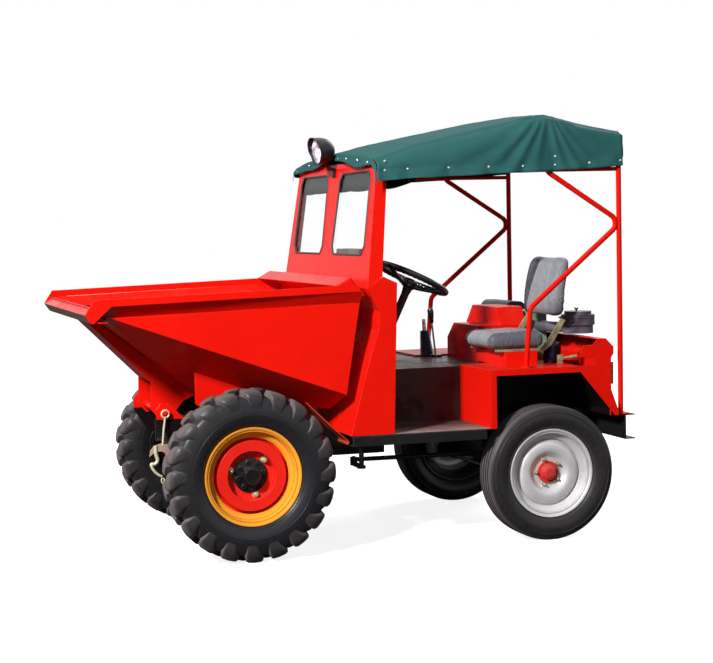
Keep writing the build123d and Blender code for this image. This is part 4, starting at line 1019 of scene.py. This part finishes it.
pad_rows, pad_flat = [], []
for y in (-0.640 + 1.280 * k / 48 for k in range(49)):
    ripple = 0.006 * noise.noise(Vector((y * 6, 0.4, 0.0)))
    # down the back of the header, under it and up again to the rails, as (x, z)
    fall = [(-0.052, 1.790), (-0.056, 1.720), (-0.066, 1.672 + ripple), (-0.110, 1.668 + ripple),
            (-0.165, 1.682 + ripple), (-0.205, 1.694), (-0.225, 1.706), (-0.222, 1.722)]
    pad_rows.append(curve_through([(x, y, z) for x, z in fall], 3))
    pad_flat.append([(y, 0.012 * i) for i in range(len(pad_rows[-1]))])
curtain = shown("rolled_curtain", cloth_mesh(pad_rows, pad_flat),
                cloth_finish("curtain_black", (0.006, 0.010, 0.011), 500.0, 0.05), 60)
curtain_area = thickened(curtain, 0.004, 0.0)


# ------------ work lamp
# A round black lamp with a chromed bowl and a clear domed lens under a short visor, turned a little
# to the left on a bracket in front of the windscreen's middle post.

lamp_at = Vector((0.060, 0.030, 1.862))
lamp_turn = Euler((0, radians(5.0), radians(8.0))).to_matrix()


def spun(outline, steps=64, at=lamp_at, turn=lamp_turn):
    """A line of (along, r) points spun about the X axis, then turned and put in its place."""
    return skin([[at + turn @ Vector((x, r * sin(a), r * cos(a))) for x, r in outline]
                 for a in turns(steps)], closed=True, around=False, weld=0.0002)


lamp_black = coated("lamp_black", (0.010, 0.009, 0.011), (0.1, 0.1, 0.1), 0.2, 0.2, 0.15, 0.38, 0.12, specular=0.35)
chrome = coated("lamp_chrome", (0.60, 0.54, 0.60), uneven=0.15, wear=0.0, dust=0.0, gloss=0.36, peel=0.02,
                metallic=0.85)
# the radius at which a spun outline meets its axis
axis = 0.0001
shell = [(-0.088, axis), (-0.088, 0.014), (-0.080, 0.036), (-0.060, 0.055), (-0.026, 0.0660), (0.0, 0.0675),
         (0.006, 0.0655), (0.008, 0.062), (0.006, 0.0585), (-0.002, 0.0575), (-0.006, 0.0575), (-0.020, 0.056),
         (-0.045, 0.046), (-0.060, 0.028), (-0.066, axis)]
visor = []
for a in (radians(-112 + 224 * k / 40) for k in range(41)):
    reach = 0.026 * max(0.0, cos(a * 0.80)) ** 0.7
    visor.append([lamp_at + lamp_turn @ Vector((x, r * sin(a), r * cos(a)))
                  for x, r in ((-0.010, 0.0675), (reach, 0.0705), (reach, 0.0685), (-0.010, 0.0655))])
strap = [lamp_at + Vector((-0.045, 0, -0.055)), lamp_at + Vector((-0.062, -0.006, -0.085)),
         (screen_x(1.775) + 0.008, 0.012, 1.775), (screen_x(1.735) + 0.006, 0.004, 1.735)]
shown("lamp_body", joined(spun(curve_through(shell, 2)), skin(visor, capped=True),
                          round_bar(strap, [0.010, 0.011, 0.010, 0.009], 8)),
      lamp_black, 40, ("work_lamp",))
bowl = [(-0.004, 0.0565), (-0.018, 0.053), (-0.036, 0.042), (-0.050, 0.026), (-0.056, 0.010), (-0.057, axis)]
shown("lamp_bowl", spun(bowl), chrome, 50)
bulb = [(-0.056, 0.006), (-0.040, 0.006), (-0.036, 0.010), (-0.026, 0.011), (-0.018, 0.007), (-0.015, axis)]
shown("lamp_bulb", spun(bulb, 24), build_glass("bulb_glass", (0.95, 0.85, 0.9), 0.02), 50)
lens = [(-0.003, 0.0570), (0.000, 0.0570), (0.0035, 0.050), (0.0065, 0.036), (0.0085, 0.018), (0.0090, axis)]
shown("lamp_lens", spun(lens + [(x - 0.003, r) for x, r in lens[::-1]]), build_glass("lens_glass", (1, 1, 1), 0.03),
      50)


# ------------ steering wheel and levers
# The wheel is black moulded plastic over a steel ring, with finger ripples under its rim and three
# dished spokes. The gear lever has a slim black knob; a second one stands in a blue-grey boot.

glossy_black = coated("moulded_black", (0.008, 0.008, 0.009), (0.08, 0.08, 0.08), 0.2, 0.1, 0.2, 0.24, 0.05,
                      specular=0.4)
hub_at = Vector((-0.301, 0.360, 1.245))
column_way = Vector((-0.4334, 0, 0.9012)).normalized()
wheel_turn = column_way.to_track_quat("Z", "Y").to_matrix()
ring_r, grip_r, ripple_high, ripples = 0.1725, 0.0165, 0.0011, 40


def on_wheel(x, y, z):
    return hub_at + wheel_turn @ Vector((x, y, z))


ring = []
for a in turns(160):
    loop = []
    for b in turns(14):
        gripped = sin(b) < -0.2 or cos(b) < -0.3
        r = grip_r + (ripple_high * sin(a * ripples) if gripped else 0.0)
        span = ring_r + r * cos(b)
        loop.append(on_wheel(span * cos(a), span * sin(a), r * 0.92 * sin(b)))
    ring.append(loop)
parts = [skin(ring, closed=True)]
for a in turns(3):
    line = curve_through([(0.012, 0, -0.034), (0.050, 0, -0.036), (0.110, 0, -0.024), (ring_r, 0, -0.002)], 6)
    widths = [0.0150 - 0.0065 * sin(pi * min(1.0, k / (len(line) - 1))) for k in range(len(line))]
    parts.append(round_bar([on_wheel(p.x * cos(a), p.x * sin(a), p.z) for p in line], widths, 12))
boss = [(-0.075, axis), (-0.075, 0.020), (-0.052, 0.024), (-0.046, 0.034), (-0.020, 0.037), (-0.012, 0.034),
        (-0.006, 0.026), (-0.003, axis)]
parts.append(spun(boss, 32, hub_at, column_way.to_track_quat("X", "Y").to_matrix()))
shown("wheel_moulding", joined(*parts), glossy_black, 45, ("steering_wheel",), "steering_wheel")

up = Vector((0, 0, 1))
deck_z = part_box("levers")[0].z
foot = Vector((-0.655, -0.278, deck_z))
knob_top = Vector((-0.632, -0.290, 1.064))
way = knob_top - foot
knob = round_bar([knob_top - way * share for share in (0.31, 0.29, 0.22, 0.12, 0.05, 0.015, 0.0)],
                 [0.0070, 0.0100, 0.0120, 0.0155, 0.0165, 0.0130, 0.0050], 16)
plate = round_bar([foot + up * height for height in (0.001, 0.012, 0.013)], [0.034, 0.032, 0.012], 20)
shown("lever_knob", joined(knob, plate), glossy_black, 40, ("levers",))
shown("lever_rod", round_bar([foot, knob_top - way * 0.29], 0.0052, 12), steel, 40)
boot_blue = coated("boot_blue_grey", (0.075, 0.115, 0.22), (0.2, 0.25, 0.3), 0.3, 0.2, 0.3, 0.45, 0.4)
boot_foot, boot_steps = Vector((-0.628, -0.335, deck_z)), 24
boot_line = [boot_foot + Vector((0.012, 0, 0.135)) * (k / boot_steps) for k in range(boot_steps + 1)]
boot_radii = [0.036 - 0.012 * k / boot_steps + 0.0028 * cos(k * pi) for k in range(boot_steps + 1)]
shown("lever_boot", round_bar(boot_line, boot_radii, 24), boot_blue, 60)
shown("boot_rod", round_bar([boot_line[-1] - up * 0.03, boot_line[-1] + Vector((0.004, 0, 0.060))],
                            [0.011, 0.009], 14), steel, 40)


# ------------ rear lamps
# Amber marker lamps of ribbed plastic and round red tail lamps on the rear wall. The fittings that
# show beside finer pieces get their finish here too: the work lamp, the levers and the wheel.

def build_lens(name, colour):
    """Moulded lamp plastic: deep colour, fine ribs, a slight glow of light caught inside."""
    made, web, shader = finish(name)
    spot = web.axes(web.where())
    pattern = web.times(*[web.math("SINE", web.times(spot[axis], 900.0)) for axis in ("Z", "Y")])
    darker = (*[c * 0.55 for c in colour], 1)
    web.fill(shader, Base_Color=web.mixed(web.ranged(pattern, -1, 1), darker, (*colour, 1)),
             Normal=web.bump(0.001, 0.5, pattern), Subsurface_Weight=0.2, Subsurface_Radius=(0.02, 0.008, 0.003),
             Roughness=web.ranged(web.speckle(40.0), 0.3, 0.7, 0.12, 0.3))
    return made


dress(build_lens("amber_lens", (0.62, 0.22, 0.02)), "marker_lamps")
dress(build_lens("red_lens", (0.35, 0.012, 0.012)), "tail_lamps")
dress(chrome, "work_lamp")
dress(glossy_black, "levers", "steering_wheel")


# ------------ hook at the skip's pivot
# A pale zinc-plated latch hangs from a stub on the pivot pin's end: an eye and rod, a forked plate of
# raw steel, a cast hook on it, and a black wire spring that pulls it shut.

pin_at = Vector((0.896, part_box("pivot_bracket")[1].y, 0.655))
hang_y = pin_at.y + 0.006


def hanging_line(points, behind=0.0):
    """Points given as (x, z) on the latch's plane, or behind it."""
    return [(x, hang_y - behind, z) for x, z in points]


stub = round_bar([pin_at + Vector((0, out, 0)) for out in (-0.004, 0.012, 0.014)], [0.0115, 0.0115, 0.0095], 20)
shown("pin_stub", stub, red, 40)
pale_zinc = coated("pale_zinc", (0.62, 0.58, 0.40), (0.25, 0.18, 0.1), 0.4, 0.4, 0.2, 0.4, 0.15, metallic=0.3)
raw_steel = coated("raw_steel_plate", (0.44, 0.31, 0.25), (0.2, 0.12, 0.08), 0.5, 0.4, 0.3, 0.5, 0.3, metallic=0.2)
eye_ring = hanging_line([(0.896 + 0.0170 * sin(a), 0.652 + 0.0170 * cos(a)) for a in turns(28)])
rod = hanging_line([(0.897, 0.636), (0.905, 0.580), (0.912, 0.505)])
throat = curve_through(hanging_line([(0.944, 0.508), (0.945, 0.475), (0.937, 0.440), (0.950, 0.424), (0.966, 0.424),
                                     (0.962, 0.405), (0.948, 0.385), (0.930, 0.370), (0.918, 0.364)]), 5)
claw = round_bar(throat, [0.0100 - 0.0045 * k / (len(throat) - 1) for k in range(len(throat))], 12)
link = hanging_line([(0.914 + 0.0065 * sin(a), 0.345 + 0.0125 * cos(a)) for a in turns(20)], 0.004)
shown("latch_hook", joined(round_bar(eye_ring, 0.0048, 10, True), round_bar(rod, 0.0054, 12), claw,
                           round_bar(link, 0.0034, 8, True)), pale_zinc, 50, ("front_hook",))
fork = [(0.974, 0.458), (0.970, 0.486), (0.952, 0.508), (0.916, 0.518), (0.886, 0.510), (0.879, 0.482),
        (0.882, 0.444), (0.892, 0.426), (0.900, 0.440), (0.898, 0.468), (0.914, 0.480), (0.938, 0.481), (0.957, 0.472)]
fork_plate = skin([hanging_line(fork, -0.003), hanging_line(fork, 0.006)], capped=True)
shown("latch_fork", fork_plate, raw_steel, 30)
coil_steps, coil_turns = 96, 5
coil = [(0.893 + 0.0115 * cos(a), hang_y - 0.012 + 0.0115 * sin(a), 0.522 + 0.046 * share)
        for share, a in ((k / coil_steps, 2 * pi * coil_turns * k / coil_steps) for k in range(coil_steps + 1))]
wire = [(0.882, hang_y - 0.012, 0.568), (0.884, hang_y - 0.016, 0.600), (0.888, hang_y - 0.016, 0.640)]
loop = [(0.968, hang_y - 0.002, 0.500)] + hanging_line([(0.967, 0.535), (0.960, 0.566), (0.948, 0.574),
                                                        (0.938, 0.566), (0.930, 0.548)])
shown("latch_spring", joined(round_bar(coil, 0.0019, 8), round_bar(curve_through(wire, 6), 0.0016, 8),
                             round_bar(curve_through(loop, 6), 0.0016, 8)), lamp_black, 50)


# ------------ air cleaner's lid
# A pressed lid with two rolled beads and a wing nut that holds it on the bowl.

lid_low, lid_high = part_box("air_cleaner")
lid_r = 0.086
lid_at = Vector((lid_low.x + lid_r + 0.001, lid_high.y - lid_r - 0.001, lid_high.z))
beads = [round_bar([lid_at + Vector((lid_r * cos(a), lid_r * sin(a), -down)) for a in turns(64)],
                   0.0035, 8, True) for down in (0.030, 0.064)]
shown("lid_beads", joined(*beads), can_paint, 40)
wings = [round_bar([lid_at - up * 0.004, lid_at + up * 0.014], 0.0045, 12)]
for name, side in sides:
    wing = [lid_at + Vector((0, side * out, height))
            for out, height in ((0.003, 0.006), (0.012, 0.011), (0.017, 0.017))]
    wings.append(round_bar(wing, [0.0035, 0.0040, 0.0022], 10))
shown("lid_nut", joined(*wings), can_paint, 40)
